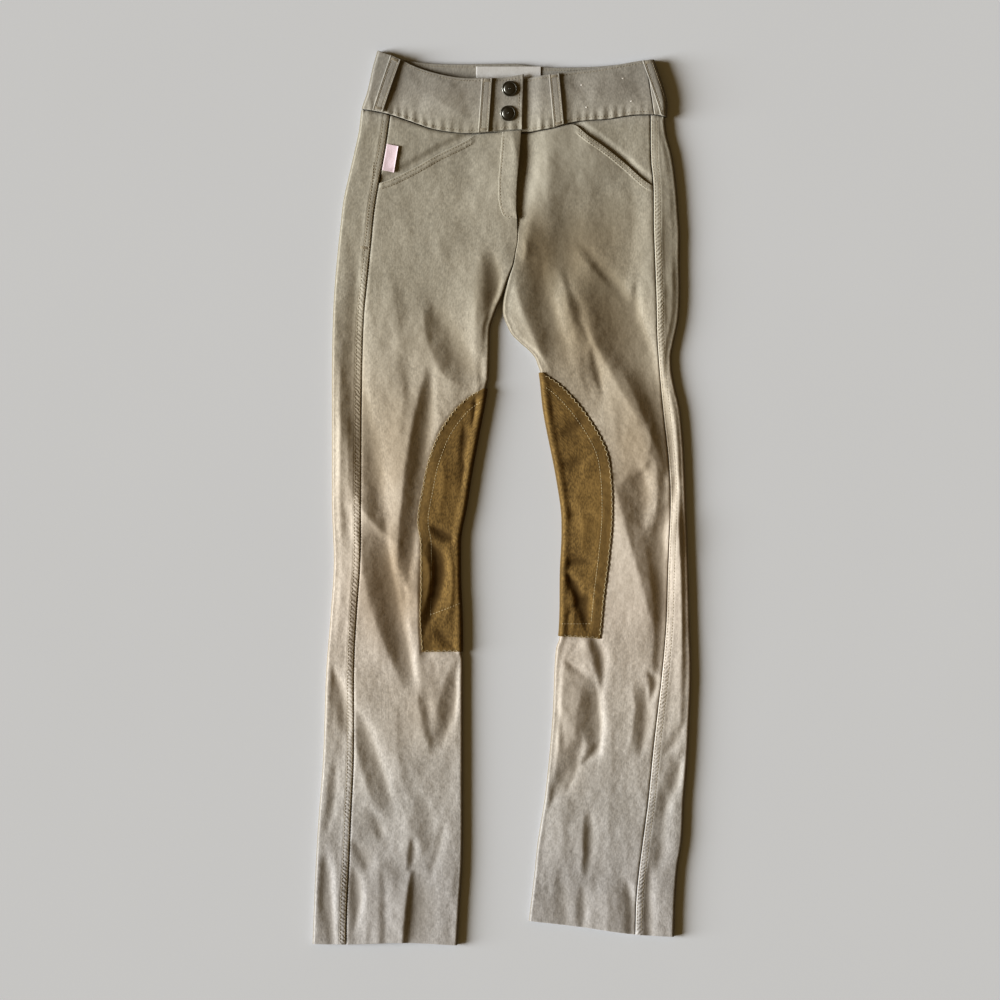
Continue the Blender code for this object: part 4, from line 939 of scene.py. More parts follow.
def placket_height(x, down):
    """Height of the outside of the placket: the front's, with its stitch groove and a raised fly edge."""
    across = x - curve(PLACKET, down)
    rise, place, half_width = FLY_EDGE
    height = front_height(RIGHT, x, down) - groove(across - PLACKET_ROW)
    return height + rise * np.exp(-((across - place) / half_width) ** 2) + REST_GAP + PLACKET_THICK


def placket(twill):
    """Fly placket: the right front's own surface between the J of its left edge and the inner edge."""
    v, u = unit_grid(*PLACKET_GRID)
    bottom = PLACKET[-1][0]
    down = PLACKET_TOP + (bottom - PLACKET_TOP) * v
    for _ in range(6):
        x = curve(PLACKET, down) * (1.0 - u) + (curve(INNER_RIGHT, down) - 0.5 * SEAM_GAP) * u
        top = curve(FRONT_TOP_RIGHT, x) + SEAM_GAP
        down = top + (bottom - top) * v
    height = placket_height(x, down) - REST_GAP - PLACKET_THICK
    return shell("fly_placket", (x, down, height), (x, down), PLACKET_THICK, twill,
                 lift=REST_GAP + PLACKET_THICK)


# ---- waistband

def band_grid(path, upper, lower, columns):
    """Points x and down of a waistband piece, in rows between its upper and lower edges."""
    rows = rows_along(0.0, BAND_DEPTH, GRID, BAND_WALL) / BAND_DEPTH
    v = np.repeat(rows[:, None], columns, axis=1)
    down = upper[0][1] * (1.0 - v) + lower[0][1] * v
    for _ in range(10):
        x = path(down)[0]
        down = curve(upper, x) * (1.0 - v) + curve(lower, x) * v
    return down


def band_relief(x, down, upper, lower):
    """Puckers that hang from the lower edge, soft hollows, and the grooves of both stitch rows.

    The puckers are a wandering sine, and die away as exp(-(distance / reach) ** 2).
    """
    from_top = down - curve(upper, x)
    from_end = curve(lower, x) - down
    wander = 1.3 * uneven(x, x, 24.0, 41)
    reach = 8.0 + 5.0 * (0.5 + 0.5 * uneven(x, x, 13.0, 43))
    wave = np.sin(TURN * x / PUCKER[0] + wander)
    puckers = PUCKER[1] * wave * np.exp(-(from_end / reach) ** 2) * (0.6 + 0.4 * uneven(x, x, 37.0, 47))
    ripples = RIPPLE[1] * np.sin(TURN * x / RIPPLE[0] + 2.0 * wander)
    ripples = ripples * sum(np.exp(-((inside - EDGE_ROW) / 2.2) ** 2) for inside in (from_top, from_end))
    hollows = 0.45 * uneven(x, down, 27.0, 51) + 0.25 * uneven(x, down, 11.0, 53)
    hollows = hollows + sum(fold_height(fold, x, down) for fold in BAND_FOLDS)
    hollows = hollows * ease(from_top / BAND_EASE) * ease(from_end / BAND_EASE)
    return puckers + ripples + hollows - groove(from_top - EDGE_ROW) - groove(from_end - EDGE_ROW)


def back_band_path(down):
    """From the join on the right, round the right edge, under, round the left edge, to the join."""
    radius = 0.5 * BAND_HEIGHT
    low_x = curve(OUTER_RIGHT, down) + radius
    high_x = curve(OUTER_LEFT, down) - radius
    first = curve(BAND_JOIN_RIGHT, down) - 0.5 * SEAM_GAP
    last = curve(BAND_JOIN_LEFT, down) + 0.5 * SEAM_GAP
    strip = first - low_x
    roll = math.pi * radius
    under = high_x - low_x
    rim = 0.5 * BAND_WALL
    place = columns_along([rim, strip - rim, roll, under, roll, high_x - last - rim, rim], BAND_COLUMNS)
    x, height = wrapped(place, first, 1.0, strip, radius, under)
    return x, place, height


def right_band_path(down):
    """Front piece on the right, from the join to the end of its snap tab."""
    first = curve(BAND_JOIN_RIGHT, down) + 0.5 * SEAM_GAP
    place = columns_across(curve(TAB_EDGE, down) - first, TAB_COLUMNS, BAND_WALL)
    return first + place, place


def left_band_path(down):
    """Front piece on the left, which starts under the tab."""
    last = curve(BAND_JOIN_LEFT, down) - 0.5 * SEAM_GAP
    place = columns_across(last - TAB_UNDERLAP, TAB_COLUMNS, BAND_WALL)
    return TAB_UNDERLAP + place, place


def right_band_height(x, down):
    """The waistband's height, its relief, the tab's raised edge and the grooves that follow it."""
    from_tab = curve(TAB_EDGE, down) - x
    relief = band_relief(x, down, BAND_TOP_RIGHT, BAND_END_RIGHT)
    lifted = 0.5 * np.exp(-np.maximum(from_tab, 0.0) / 9.0)
    return BAND_HEIGHT + relief + lifted - groove(from_tab - TAB_ROW) * (down > BAND_TOP_RIGHT[-1][1] + 2.0)


def left_band_height(x, down):
    """The waistband's height and relief, lower where the tab laps over it."""
    lower = 1.0 - ease((x - TAB_CLEAR[0]) / TAB_CLEAR[1])
    relief = band_relief(x, down, BAND_TOP_LEFT, BAND_SEAM)
    return BAND_HEIGHT - (BAND_WALL + TAB_GAP) * lower + relief * (1.0 - 0.85 * lower)


def back_lift(x, down):
    """How far the back waistband comes up inside the front one, between its rolled edges."""
    first, last, length = LIFT_SIDES
    inside = ease((x - first) / length) * ease((last - x) / length)
    return BACK_LIFT * inside * (1.0 - ease((down - LIFT_FADE[0]) / LIFT_FADE[1]))


def waistband_back(twill):
    """One strip from join to join, round the back, with its relief on the parts that show."""
    down = band_grid(back_band_path, BAND_TOP_BACK, BACK_SEAM, sum(BAND_COLUMNS) + 1)
    x, place, height = back_band_path(down)
    relief = 0.6 * band_relief(x, down, BAND_TOP_BACK, BACK_SEAM)
    height = height + relief * ease((height - 0.8 * BAND_HEIGHT) / (0.2 * BAND_HEIGHT))
    height = height + np.where(height < UNDERSIDE, back_lift(x, down), 0.0)
    return shell("waistband_back", (x, down, height), (place, down), BAND_WALL, twill)


def waistband_front(name, path, height_of, upper, lower, twill):
    """A front piece of the waistband between its upper and lower edges, at the height of its own."""
    down = band_grid(path, upper, lower, TAB_COLUMNS + 2 * RIM_COLUMNS + 1)
    x, place = path(down)
    return shell(name, (x, down, height_of(x, down)), (place, down), BAND_WALL, twill)


def loop_points(loop, v, u, stand):
    """Places of a belt loop, stand above the band: it bends with the band's rolled edge and bows out."""
    radius = 0.5 * BAND_HEIGHT
    outer = OUTER_RIGHT if loop.way > 0.0 else OUTER_LEFT
    upper = BAND_TOP_RIGHT if loop.way > 0.0 else BAND_TOP_LEFT
    flat_x = loop.x_top + (loop.x_end - loop.x_top) * v + LOOP_WIDTH * (u - 0.5)
    off = stand + LOOP_BOW * np.sin(math.pi * v)
    x = flat_x
    for _ in range(10):
        down = (curve(upper, x) + REST_GAP) * (1.0 - v) + (curve(BAND_SEAM, x) - REST_GAP) * v
        roll_x = curve(outer, down) + loop.way * radius
        turned = np.clip(loop.way * (roll_x - flat_x) / radius, 0.0, math.pi)
        x = np.where(turned > 0.0, roll_x - loop.way * (radius + off) * np.sin(turned), flat_x)
    return x, down, radius + (radius + off) * np.cos(turned)


def loop_stand(v, across):
    """How far the outside of a loop stands off the band: raised edges, stitch grooves, turned ends."""
    edges = 0.25 * np.exp(-(np.abs(across) - 4.6) ** 2)
    ends = 0.5 * sum(np.exp(-(share * LOOP_LENGTH / 5.0) ** 4) for share in (v, 1.0 - v))
    return REST_GAP + LOOP_THICK + edges - groove(np.abs(across) - LOOP_ROW) + ends


def belt_loop(loop, twill):
    """A folded strip with a groove along each of its two stitch rows, and turned ends."""
    v, u = unit_grid(*LOOP_GRID)
    across = LOOP_WIDTH * (u - 0.5)
    points = loop_points(loop, v, u, loop_stand(v, across))
    return shell(loop.name, points, (across, LOOP_LENGTH * v), LOOP_THICK, twill)


# ---- labels and snaps

def neck_label(tape):
    """Blank woven label on the inside of the back waistband, a little rumpled."""
    left, right, upper, lower = NECK_LABEL
    down, x = np.meshgrid(rows_along(upper, lower, 1.0, TAPE), left + columns_across(right - left, 60, TAPE),
                          indexing="ij")
    rumple = 0.12 * (1.0 + uneven(x, down, 12.0, 61)) * ease((24.0 - down) / 8.0 + 0.4)
    height = BAND_WALL + REST_GAP + TAPE + rumple + back_lift(x, down)
    return shell("neck_label", (x, down, height), (x, down), TAPE, tape)


def side_label(tape):
    """Blank label folded into the side seam: a sheet between four corners, its free edge raised."""
    v, u = unit_grid(*SIDE_LABEL_GRID)
    a, b, c, d = np.array(SIDE_LABEL)[:, :, None, None]
    x, down = (a * (1.0 - u) + b * u) * (1.0 - v) + (d * (1.0 - u) + c * u) * v
    free = np.linspace(0.0, 1.0, x.shape[1]) ** 3
    height = facing_height(RIGHT, x, down) + REST_GAP + TAPE + 1.1 * free
    return shell("side_label", (x, down, height), (x, down), TAPE, tape)


def snap_cap(name, x, down, metal):
    """Turned cap: the radius and height of a profile carried round its axis in even steps.

    The profile runs from the middle of the flat back, out round a rolled rim, in through a groove with
    a fine bead, and up over a plain shallow dome to its top.
    """
    rim = np.linspace(-0.5 * math.pi, 0.5 * math.pi, 9)
    dome = np.linspace(0.0, 0.5 * math.pi, 12)[:-1]
    dome_radius = 0.74 * SNAP_RADIUS
    radius = np.concatenate([
        [0.5 * SNAP_RADIUS, SNAP_RADIUS - 0.9], SNAP_RADIUS - 0.75 + 0.75 * np.cos(rim),
        [SNAP_RADIUS - 1.25, SNAP_RADIUS - 1.55, SNAP_RADIUS - 1.8], dome_radius * np.cos(dome)])
    rise = np.concatenate([
        [0.0, 0.0], 0.78 + 0.78 * np.sin(rim), [1.50, 1.22, 1.22],
        1.22 + (SNAP_HEIGHT - 1.22) * np.sin(dome) ** 0.8])
    angle = TURN * np.arange(SNAP_STEPS) / SNAP_STEPS
    seat = right_band_height(np.array([x]), np.array([down]))[0] + 0.25
    ring = np.stack([x + radius[:, None] * np.cos(angle), down + radius[:, None] * np.sin(angle),
                     np.repeat(rise[:, None] + seat, SNAP_STEPS, axis=1)], -1)
    poles = np.array([[x, down, seat], [x, down, seat + SNAP_HEIGHT]])
    count = len(radius)
    number = np.arange(count * SNAP_STEPS).reshape(count, SNAP_STEPS)
    closed = np.concatenate([number, number[:, :1]], axis=1)
    back = [[int(a), int(b), count * SNAP_STEPS] for a, b in zip(closed[0, :-1], closed[0, 1:])]
    top = [[int(b), int(a), count * SNAP_STEPS + 1] for a, b in zip(closed[-1, :-1], closed[-1, 1:])]
    faces = cells(closed).tolist() + back + top
    return new_piece(name, to_world(np.concatenate([ring.reshape(-1, 3), poles])), faces, metal)


# ---- stitches

def spaced(line, spacing):
    """Run along a line of (x, down) at each of its points, the line, and runs evenly spaced along it."""
    line = np.asarray(line, dtype=float)
    run = np.concatenate(([0.0], np.cumsum(np.linalg.norm(np.diff(line, axis=0), axis=1))))
    at = np.arange(0.5 * spacing, run[-1], spacing)
    return run, line, at


def on_line(run, line, at):
    """Points of a line at runs along it."""
    return np.stack([np.interp(at, run, line[:, 0]), np.interp(at, run, line[:, 1])], -1)


def stitch_row(line, pitch, length):
    """Stitches along a line of (x, down): their start and end places, as (stitch, end, 2)."""
    run, line, at = spaced(line, pitch)
    return on_line(run, line, at[:, None] + np.array([-0.5, 0.5]) * length)


def zigzag(line, pitch, width):
    """Threads from side to side of a line of (x, down), between alternate places beside it."""
    run, line, at = spaced(line, pitch)
    places = on_line(run, line, at)
    along = np.gradient(places, axis=0)
    side = np.stack([along[:, 1], -along[:, 0]], -1)
    side /= np.linalg.norm(side, axis=-1, keepdims=True)
    places += 0.5 * width * side * np.where(np.arange(len(at)) % 2, 1.0, -1.0)[:, None]
    return np.stack([places[:-1], places[1:]], axis=1)


def laid_on(stitches, height_of):
    """Stitches as (stitch, end, 3), lying on the surface whose height a function of x and down gives."""
    x, down = stitches[..., 0], stitches[..., 1]
    return np.stack([x, down, height_of(x, down) + STITCH_LIFT], -1)


def beside(table, upper, lower, offset):
    """A line of (x, down) at an x offset from a table of (down, x)."""
    down = np.arange(upper, lower, 1.5)
    return np.stack([curve(table, down) + offset, down], -1)


def along_edge(table, left, right, offset):
    """A line of (x, down) at a distance below a table of (x, down)."""
    x = np.arange(left, right, 1.0)
    return np.stack([x, curve(table, x) + offset], -1)


def threads(name, stitches, material):
    """One mesh of short round threads, each a tapered five-sided tube from its start to its end."""
    radius = 0.5 * settings().thread_width
    start, end = to_world(stitches[:, 0]), to_world(stitches[:, 1])
    along = end - start
    axis = along / np.linalg.norm(along, axis=-1, keepdims=True)
    side = np.cross(axis, [0.0, 0.0, 1.0])
    side /= np.linalg.norm(side, axis=-1, keepdims=True)
    up = np.cross(side, axis)
    centre = start[:, None] + along[:, None] * np.array([0.0, 0.2, 0.8, 1.0])[:, None]
    centre = centre + up[:, None] * (np.array([-0.9, 0.1, 0.1, -0.9]) * radius)[:, None]
    angle = TURN * np.arange(5) / 5
    spoke = side[:, None] * np.cos(angle)[:, None] + up[:, None] * np.sin(angle)[:, None]
    taper = np.array([0.4, 1.0, 1.0, 0.4]) * radius
    rings = centre[:, :, None] + taper[:, None, None] * spoke[:, None]
    number = np.arange(len(stitches) * 20).reshape(-1, 4, 5)
    closed = np.concatenate([number, number[:, :, :1]], axis=2)
    faces = cells(closed).tolist()
    faces += number[:, 0, ::-1].tolist() + number[:, -1].tolist()
    piece = new_piece(name, rings.reshape(-1, 3), faces, material)
    return piece


def rows_on(lines, height_of):
    """Stitch rows along several lines of one surface."""
    pitch = settings().stitch_pitch / MM
    rows = [stitch_row(line, pitch, STITCH_SHARE * pitch) for line in lines]
    return laid_on(np.concatenate(rows), height_of)


def leg_stitches(half):
    """Two rows along the pocket edge, and two down the lapped side seam."""
    left, right = half.pocket[0][0] + 3.0, half.pocket[-1][0] - 3.0
    edge = [along_edge(half.pocket, left, right, 1.14 * below) for below in POCKET_ROWS]
    lap = [beside(half.seam, 74.0, curve(half.hem, half.seam[-1][1]) - 2.0,
                  -half.way * (out + 0.5 * SEAM_GAP)) for out in LAP_ROWS]
    return [rows_on(edge, partial(front_surface, half)), rows_on(lap, partial(strip_height, half))]


def slit_stitches():
    """Row beside the slit in the right strip, and the bar tack that closes its end."""
    x, down = SLIT_TACK
    tack = np.array([[(x, down + 0.6 * k), (x + 9.0, down + 1.5 + 0.6 * k)] for k in range(5)])
    height_of = partial(strip_height, RIGHT)
    return [rows_on([SLIT], height_of), laid_on(tack, height_of)]


def fly_stitches():
    """Row beside the left edge of the placket, round its J."""
    down = np.arange(PLACKET[0][0] + 3.0, PLACKET[-1][0] - 1.6, 1.0)
    line = np.stack([curve(PLACKET, down) + PLACKET_ROW, down], -1)
    return [rows_on([np.concatenate([line, line[-1] + [(3.0, 0.2), (7.0, 0.2)]])], placket_height)]


def waist_stitches():
    """Rows along both edges of the waistband and round its tab, inside the back band, and on the loops."""
    made = [
        rows_on([along_edge(BAND_TOP_RIGHT, -112.0, 19.0, EDGE_ROW),
                 along_edge(BAND_END_RIGHT, -127.0, 17.0, -EDGE_ROW),
                 beside(TAB_EDGE, 30.0, 80.5, -TAB_ROW)], right_band_height),
        rows_on([along_edge(BAND_TOP_LEFT, 25.5, 151.0, EDGE_ROW),
                 along_edge(BAND_SEAM, 24.5, 158.0, -EDGE_ROW)], left_band_height),
        rows_on([along_edge(BAND_TOP_BACK, -108.0, 140.0, EDGE_ROW)],
                lambda x, down: BAND_WALL + back_lift(x, down)),
    ]
    for loop in LOOPS:
        v = np.arange(0.06, 0.92, 0.05)
        ends = np.stack([v, v + 0.036], -1)
        bars = np.repeat(np.array([0.035, 0.05, 0.065, 0.935, 0.95, 0.965])[:, None], 2, axis=1)
        rows = [(ends, np.full_like(ends, 0.5 + side * LOOP_ROW / LOOP_WIDTH)) for side in (-1.0, 1.0)]
        for v, u in rows + [(bars, np.zeros_like(bars) + [0.16, 0.84])]:
            stand = loop_stand(v, LOOP_WIDTH * (u - 0.5)) + STITCH_LIFT
            made.append(np.stack(loop_points(loop, v, u, stand), -1))
    return made


def patch_height(half, x, down):
    """Height of the outside of a knee patch: the front's with its creases, and the inner roll's drop."""
    radius = edge_radius(down)
    corner = inner_edge(half, down) - half.way * radius
    outside = radius + REST_GAP + SUEDE
    over = np.clip(half.way * (x - corner) / outside, 0.0, 0.97)
    flat_x = np.where(over > 0.0, corner, x)
    top = front_height(half, flat_x, down) + patch_creases(half, flat_x, down)
    return top + REST_GAP + SUEDE - outside * (1.0 - np.sqrt(1.0 - over ** 2))


def patch_edge(half, inset, upper, lower):
    """Outer edge of a knee patch as (x, down), moved in by a distance, between two places down."""
    down = np.arange(upper, lower, 1.0)
    slope, stretch = slope_of(half.patch, down)
    return np.stack([curve(half.patch, down) + half.way * inset / stretch,
                     down - half.way * inset * slope / stretch], -1)


def patch_stitches(half):
    """Zigzag over the outer and the lower edge, a row further in, and one that crosses above the hem."""
    first, last = half.patch[1][0] + 4.0, half.patch[-1][0] - 1.0
    inside = inner_edge(half, last) - half.way * 3.0
    x = np.arange(half.patch[-1][1] + half.way, inside, half.way)
    low_edge = np.stack([x, curve(half.patch_end, x) - 1.0], -1)
    cross = np.array(half.patch_row)
    inner = patch_edge(half, PATCH_ROW, first, last)
    from_inside = half.way * (inner_edge(half, inner[:, 1]) - inner[:, 0])
    inner = inner[(inner[:, 1] < cross[0, 1]) & (from_inside > 3.0)]
    edges = np.concatenate([zigzag(edge, *ZIGZAG) for edge in (patch_edge(half, 0.9, first, last), low_edge)])
    height_of = partial(patch_height, half)
    return [laid_on(edges, height_of), rows_on([inner, cross], height_of)]


def tack_stitches():
    """Four tacks of white thread left in the left waistband, two strands each."""
    made = [((x - 1.4, down + step), (x + 1.4, down + step + lean))
            for x, down, lean in TACKS for step in (-0.25, 0.3)]
    return [laid_on(np.array(made), left_band_height)]


# ---- materials

def node(tree, kind, inputs=None, **options):
    """A shader node with its options; inputs holds numbers to set and sockets to link."""
    made = tree.nodes.new("ShaderNode" + kind)
    for name, value in options.items():
        setattr(made, name, value)
    for key, value in (inputs or {}).items():
        if isinstance(value, bpy.types.NodeSocket):
            tree.links.new(value, made.inputs[key])
        else:
            made.inputs[key].default_value = value
    return made


def maths(tree, operation, *values):
    """A sum or product of numbers."""
    return node(tree, "Math", dict(enumerate(values)), operation=operation).outputs[0]


def vector_maths(tree, operation, *values):
    """The same of vectors or colours."""
    made = node(tree, "VectorMath", dict(enumerate(values)), operation=operation)
    return made.outputs[1 if operation in ("LENGTH", "DOT_PRODUCT") else 0]


def noise(tree, place, scale, detail=2.0, roughness=0.5):
    """Noise from 0 to 1."""
    return node(tree, "TexNoise", {"Vector": place, "Scale": scale, "Detail": detail,
                                       "Roughness": roughness}).outputs[0]


def scaled(tree, value, *ends, **options):
    """A value carried from one range to another, which are both 0 to 1 as they come."""
    inputs = {0: value, **dict(enumerate(ends, 1))}
    return node(tree, "MapRange", inputs, **options).outputs[0]


def blend(tree, factor, a, b):
    """A colour between a and b."""
    return node(tree, "Mix", {0: factor, 6: a, 7: b}, data_type="RGBA").outputs[2]


def new_group(name, outputs, **inputs):
    """A node group, its inputs and its outputs: an input is a number, or a vector where it has none."""
    tree = bpy.data.node_groups.new(name, "ShaderNodeTree")
    for label, default in inputs.items():
        kind = "NodeSocketVector" if default is None else "NodeSocketFloat"
        socket = tree.interface.new_socket(label, in_out="INPUT", socket_type=kind)
        if default is not None:
            socket.default_value = default
    for label in outputs:
        tree.interface.new_socket(label, in_out="OUTPUT", socket_type="NodeSocketFloat")
    return tree, tree.nodes.new("NodeGroupInput").outputs, tree.nodes.new("NodeGroupOutput").inputs


def put_out(tree, out, **values):
    """Links values to the outputs of a group."""
    for label, value in values.items():
        tree.links.new(value, out[label])


def make_dye_group():
    """Uneven dye: soft clouds, and streaks and a fine grain drawn down the cloth, about a half."""
    tree, given, out = new_group("uneven_dye", ["Value"], Vector=None, Cloud=20.0, Streak=170.0,
                                 Grain=900.0, Contrast=1.0)
    drawn = vector_maths(tree, "MULTIPLY", given["Vector"], (1.0, 0.4, 1.0))
    cloud = noise(tree, given["Vector"], given["Cloud"], 3.0)
    streak = noise(tree, drawn, given["Streak"], 3.0, 0.62)
    grain = noise(tree, drawn, given["Grain"], 1.0)
    total = maths(tree, "MULTIPLY_ADD", grain, 2.0, maths(tree, "ADD", cloud, streak))
    spread = maths(tree, "MULTIPLY_ADD", maths(tree, "SUBTRACT", total, 2.0), given["Contrast"], 0.5)
    put_out(tree, out, Value=node(tree, "Clamp", {0: spread}).outputs[0])


def make_shade_patch_group():
    """A mask of patches of painted shade: soft ellipses, broken up by broad noise."""
    tree, given, out = new_group("saddle_wear", ["Value"], Vector=None)
    total = maths(tree, "MULTIPLY_ADD", noise(tree, given["Vector"], 16.0, 3.0), 0.5, -0.25)
    for x, down, half_width, half_length, weight in SHADE_PATCHES:
        off = vector_maths(tree, "SUBTRACT", given["Vector"], (x * MM, (0.5 * LENGTH - down) * MM, 0.0))
        size = (1.0 / (half_width * MM), 1.0 / (half_length * MM), 0.0)
        off = vector_maths(tree, "MULTIPLY", off, size)
        spot = scaled(tree, vector_maths(tree, "LENGTH", off), 1.0, 0.25, 0.0, weight)
        total = maths(tree, "ADD", total, spot)
    put_out(tree, out, Value=node(tree, "Clamp", {0: total}).outputs[0])


def make_weave_group():
    """Twill weave: slanted ribs, broken across by the weft, with slubs from fine noise."""
    tree, given, out = new_group("twill_weave", ["Height", "Slub"], Vector=None, Pitch=0.0009,
                                 Slant=1.1)
    scale = maths(tree, "DIVIDE", 0.314, given["Pitch"])
    turned = node(tree, "VectorRotate", {"Vector": given["Vector"], "Angle": given["Slant"]},
                      rotation_type="Z_AXIS").outputs[0]
    ribs = node(tree, "TexWave", {"Vector": turned, "Scale": scale, "Distortion": 0.7, "Detail": 1.0},
                    bands_direction="X").outputs[1]
    weft = node(tree, "TexWave", {"Vector": given["Vector"], "Scale": scale, "Distortion": 0.5},
                    bands_direction="Y").outputs[1]
    slub = noise(tree, given["Vector"], maths(tree, "DIVIDE", 0.6, given["Pitch"]))
    woven = maths(tree, "MULTIPLY_ADD", weft, 0.35, ribs)
    put_out(tree, out, Height=maths(tree, "ADD", woven, slub), Slub=slub)


def make_crease_group():
    """Masks from the folds: 1 at the bottom of a fold, for painted shade, on its crest, for a painted
    highlight, and on a turned edge, for painted shade.
    """
    tree, given, out = new_group("creases", ["Hollow", "Worn", "Edge"], Depth=0.7, Crest=0.7)
    turn, relief = (node(tree, "Attribute", attribute_name=name).outputs["Fac"]
                    for name in ("turn", "relief"))
    # painted shade where the cloth turns on edge, which darkens the rims that the light makes bright
    put_out(tree, out, Edge=scaled(tree, turn, 0.07, 0.34, interpolation_type="SMOOTHSTEP"))
    for label, sign, key in (("Hollow", -1.0, "Depth"), ("Worn", 1.0, "Crest")):
        share = maths(tree, "DIVIDE", maths(tree, "MULTIPLY", relief, sign), given[key])
        put_out(tree, out, **{label: scaled(tree, share, interpolation_type="SMOOTHSTEP")})


def make_rope_group():
    """Puckers of a lapped seam: a slanted, wandering wave, where the cloth's own lap mark is."""
    tree, given, out = new_group("lap_rope", ["Height"], Vector=None, Pitch=0.005)
    lap = node(tree, "Attribute", attribute_name="lap").outputs["Fac"]
    leant = vector_maths(tree, "DOT_PRODUCT", given["Vector"], (0.8, 1.0, 0.0))
    turns = maths(tree, "MULTIPLY_ADD", noise(tree, given["Vector"], 60.0), 1.6,
                      maths(tree, "DIVIDE", leant, given["Pitch"]))
    wave = maths(tree, "SINE", maths(tree, "MULTIPLY", turns, TURN))
    wave = maths(tree, "MULTIPLY_ADD", wave, 0.5, 0.5)
    put_out(tree, out, Height=maths(tree, "MULTIPLY", wave, lap))


def use_group(tree, name, **inputs):
    """The outputs of a node group placed in a material, with its own values."""
    return node(tree, "Group", inputs, node_tree=bpy.data.node_groups[name]).outputs


def tone(colour, share, warmth=0.0):
    """A colour made lighter or darker, and warmer."""
    tint = (1.0, 1.0 - 0.35 * warmth, 1.0 - warmth)
    return (*(min(1.0, channel * share * part) for channel, part in zip(colour, tint)), 1.0)


def new_material(name, **inputs):
    """A new material, its node tree and its Principled shader, with constants on its sockets."""
    material = bpy.data.materials.new(name)
    material.use_nodes = True
    shader = material.node_tree.nodes["Principled BSDF"]
    for label, value in inputs.items():
        shader.inputs[label.replace("_", " ").title()].default_value = value
    return material, material.node_tree, shader


def paint(tree, shader, colour):
    """Links a colour to the shader's Base Color."""
    tree.links.new(colour, shader.inputs["Base Color"])


def bump(tree, shader, height, distance, strength=1.0, under=None):
    """A Bump node on the shader's Normal, over another bump where there is one."""
    inputs = {"Height": height, "Distance": distance, "Strength": strength}
    if under is not None:
        inputs["Normal"] = under
    made = node(tree, "Bump", inputs).outputs[0]
    tree.links.new(made, shader.inputs["Normal"])
    return made


def uv_of(tree):
    """Place on the cloth, in metres."""
    return node(tree, "UVMap", uv_map="cloth").outputs[0]


def place_of(tree):
    """Place in the world, since every piece's object sits at the origin."""
    return node(tree, "TexCoord").outputs["Object"]


def overlay(tree, base, colour, *shade_and_tone_layers):
    """The base with tones of a colour over it, such as painted shade and highlights: a mask, its weight, and
    the share and warmth of each.
    """
    for mask, weight, share, warmth in shade_and_tone_layers:
        base = blend(tree, maths(tree, "MULTIPLY", mask, weight), base, tone(colour, share, warmth))
    return base


def light_and_shade_down(tree, place_y):
    """Colour of painted light and shade down the garment, from a ramp that holds its halves."""
    along = maths(tree, "MULTIPLY_ADD", place_y, -1.0 / (LENGTH * MM), 0.5)
    ramp = node(tree, "ValToRGB", {0: along})
    stops = ramp.color_ramp.elements
    for number, (down, shares) in enumerate(LIGHT_AND_SHADE_DOWN):
        stop = stops[number] if number < 2 else stops.new(1.0)
        stop.position = down / LENGTH
        stop.color = (*(0.5 * share for share in shares), 1.0)
    return vector_maths(tree, "MULTIPLY", ramp.outputs[0], (2.0, 2.0, 2.0))


def twill_material(name, colour):
    """Matt stretch twill: dyed unevenly, with painted shade in hollows and on turned edges, and a painted
    highlight on crests.

    Painted light and shade run down the garment, and painted shade browns patches of it. It has ribs, seam
    puckers and rumples.
    """
    material, tree, shader = new_material(name, roughness=0.88, sheen_weight=0.12)
    cloth, place = uv_of(tree), place_of(tree)
    dye = use_group(tree, "uneven_dye", Vector=cloth, Cloud=14.0, Streak=320.0, Grain=700.0,
                    Contrast=1.2)["Value"]
    weave = use_group(tree, "twill_weave", Vector=cloth, Pitch=settings().weave_pitch)
    crease = use_group(tree, "creases")
    # painted shade in fold hollows and on turned edges, a painted highlight on crests, and the weave's slubs
    base = overlay(tree, blend(tree, dye, tone(colour, 0.83), tone(colour, 1.17)), colour,
                   (crease["Hollow"], 0.5, 0.74, 0.15), (crease["Worn"], 0.5, 1.08, 0.0),
                   (weave["Slub"], 0.34, 0.7, 0.0), (crease["Edge"], 0.9, 0.42, 0.2))
    place_y = node(tree, "SeparateXYZ", {0: place}).outputs[1]
    # painted shade, darker and browner in patches
    shade_patch_mask = use_group(tree, "saddle_wear", Vector=place)["Value"]
    shade_patch_tint = blend(tree, shade_patch_mask, (1.0, 1.0, 1.0, 1.0), (*SHADE_PATCH_BROWN, 1.0))
    # painted light and shade down the garment
    base = vector_maths(tree, "MULTIPLY", base, light_and_shade_down(tree, place_y))
    paint(tree, shader, vector_maths(tree, "MULTIPLY", base, shade_patch_tint))
    (upper, least), (lower, most) = CRUMPLED
    crumpled = scaled(tree, place_y, upper * MM, lower * MM, least, most)
    rumple = maths(tree, "MULTIPLY", noise(tree, cloth, 90.0, 4.0), crumpled)
    rope = use_group(tree, "lap_rope", Vector=cloth, Pitch=ROPE[0] * MM)["Height"]
    under = bump(tree, shader, rope, ROPE[1] * MM, 1.0, bump(tree, shader, rumple, 0.0007, 0.8))
    bump(tree, shader, weave["Height"], 0.0002, 0.35, under)
    return material


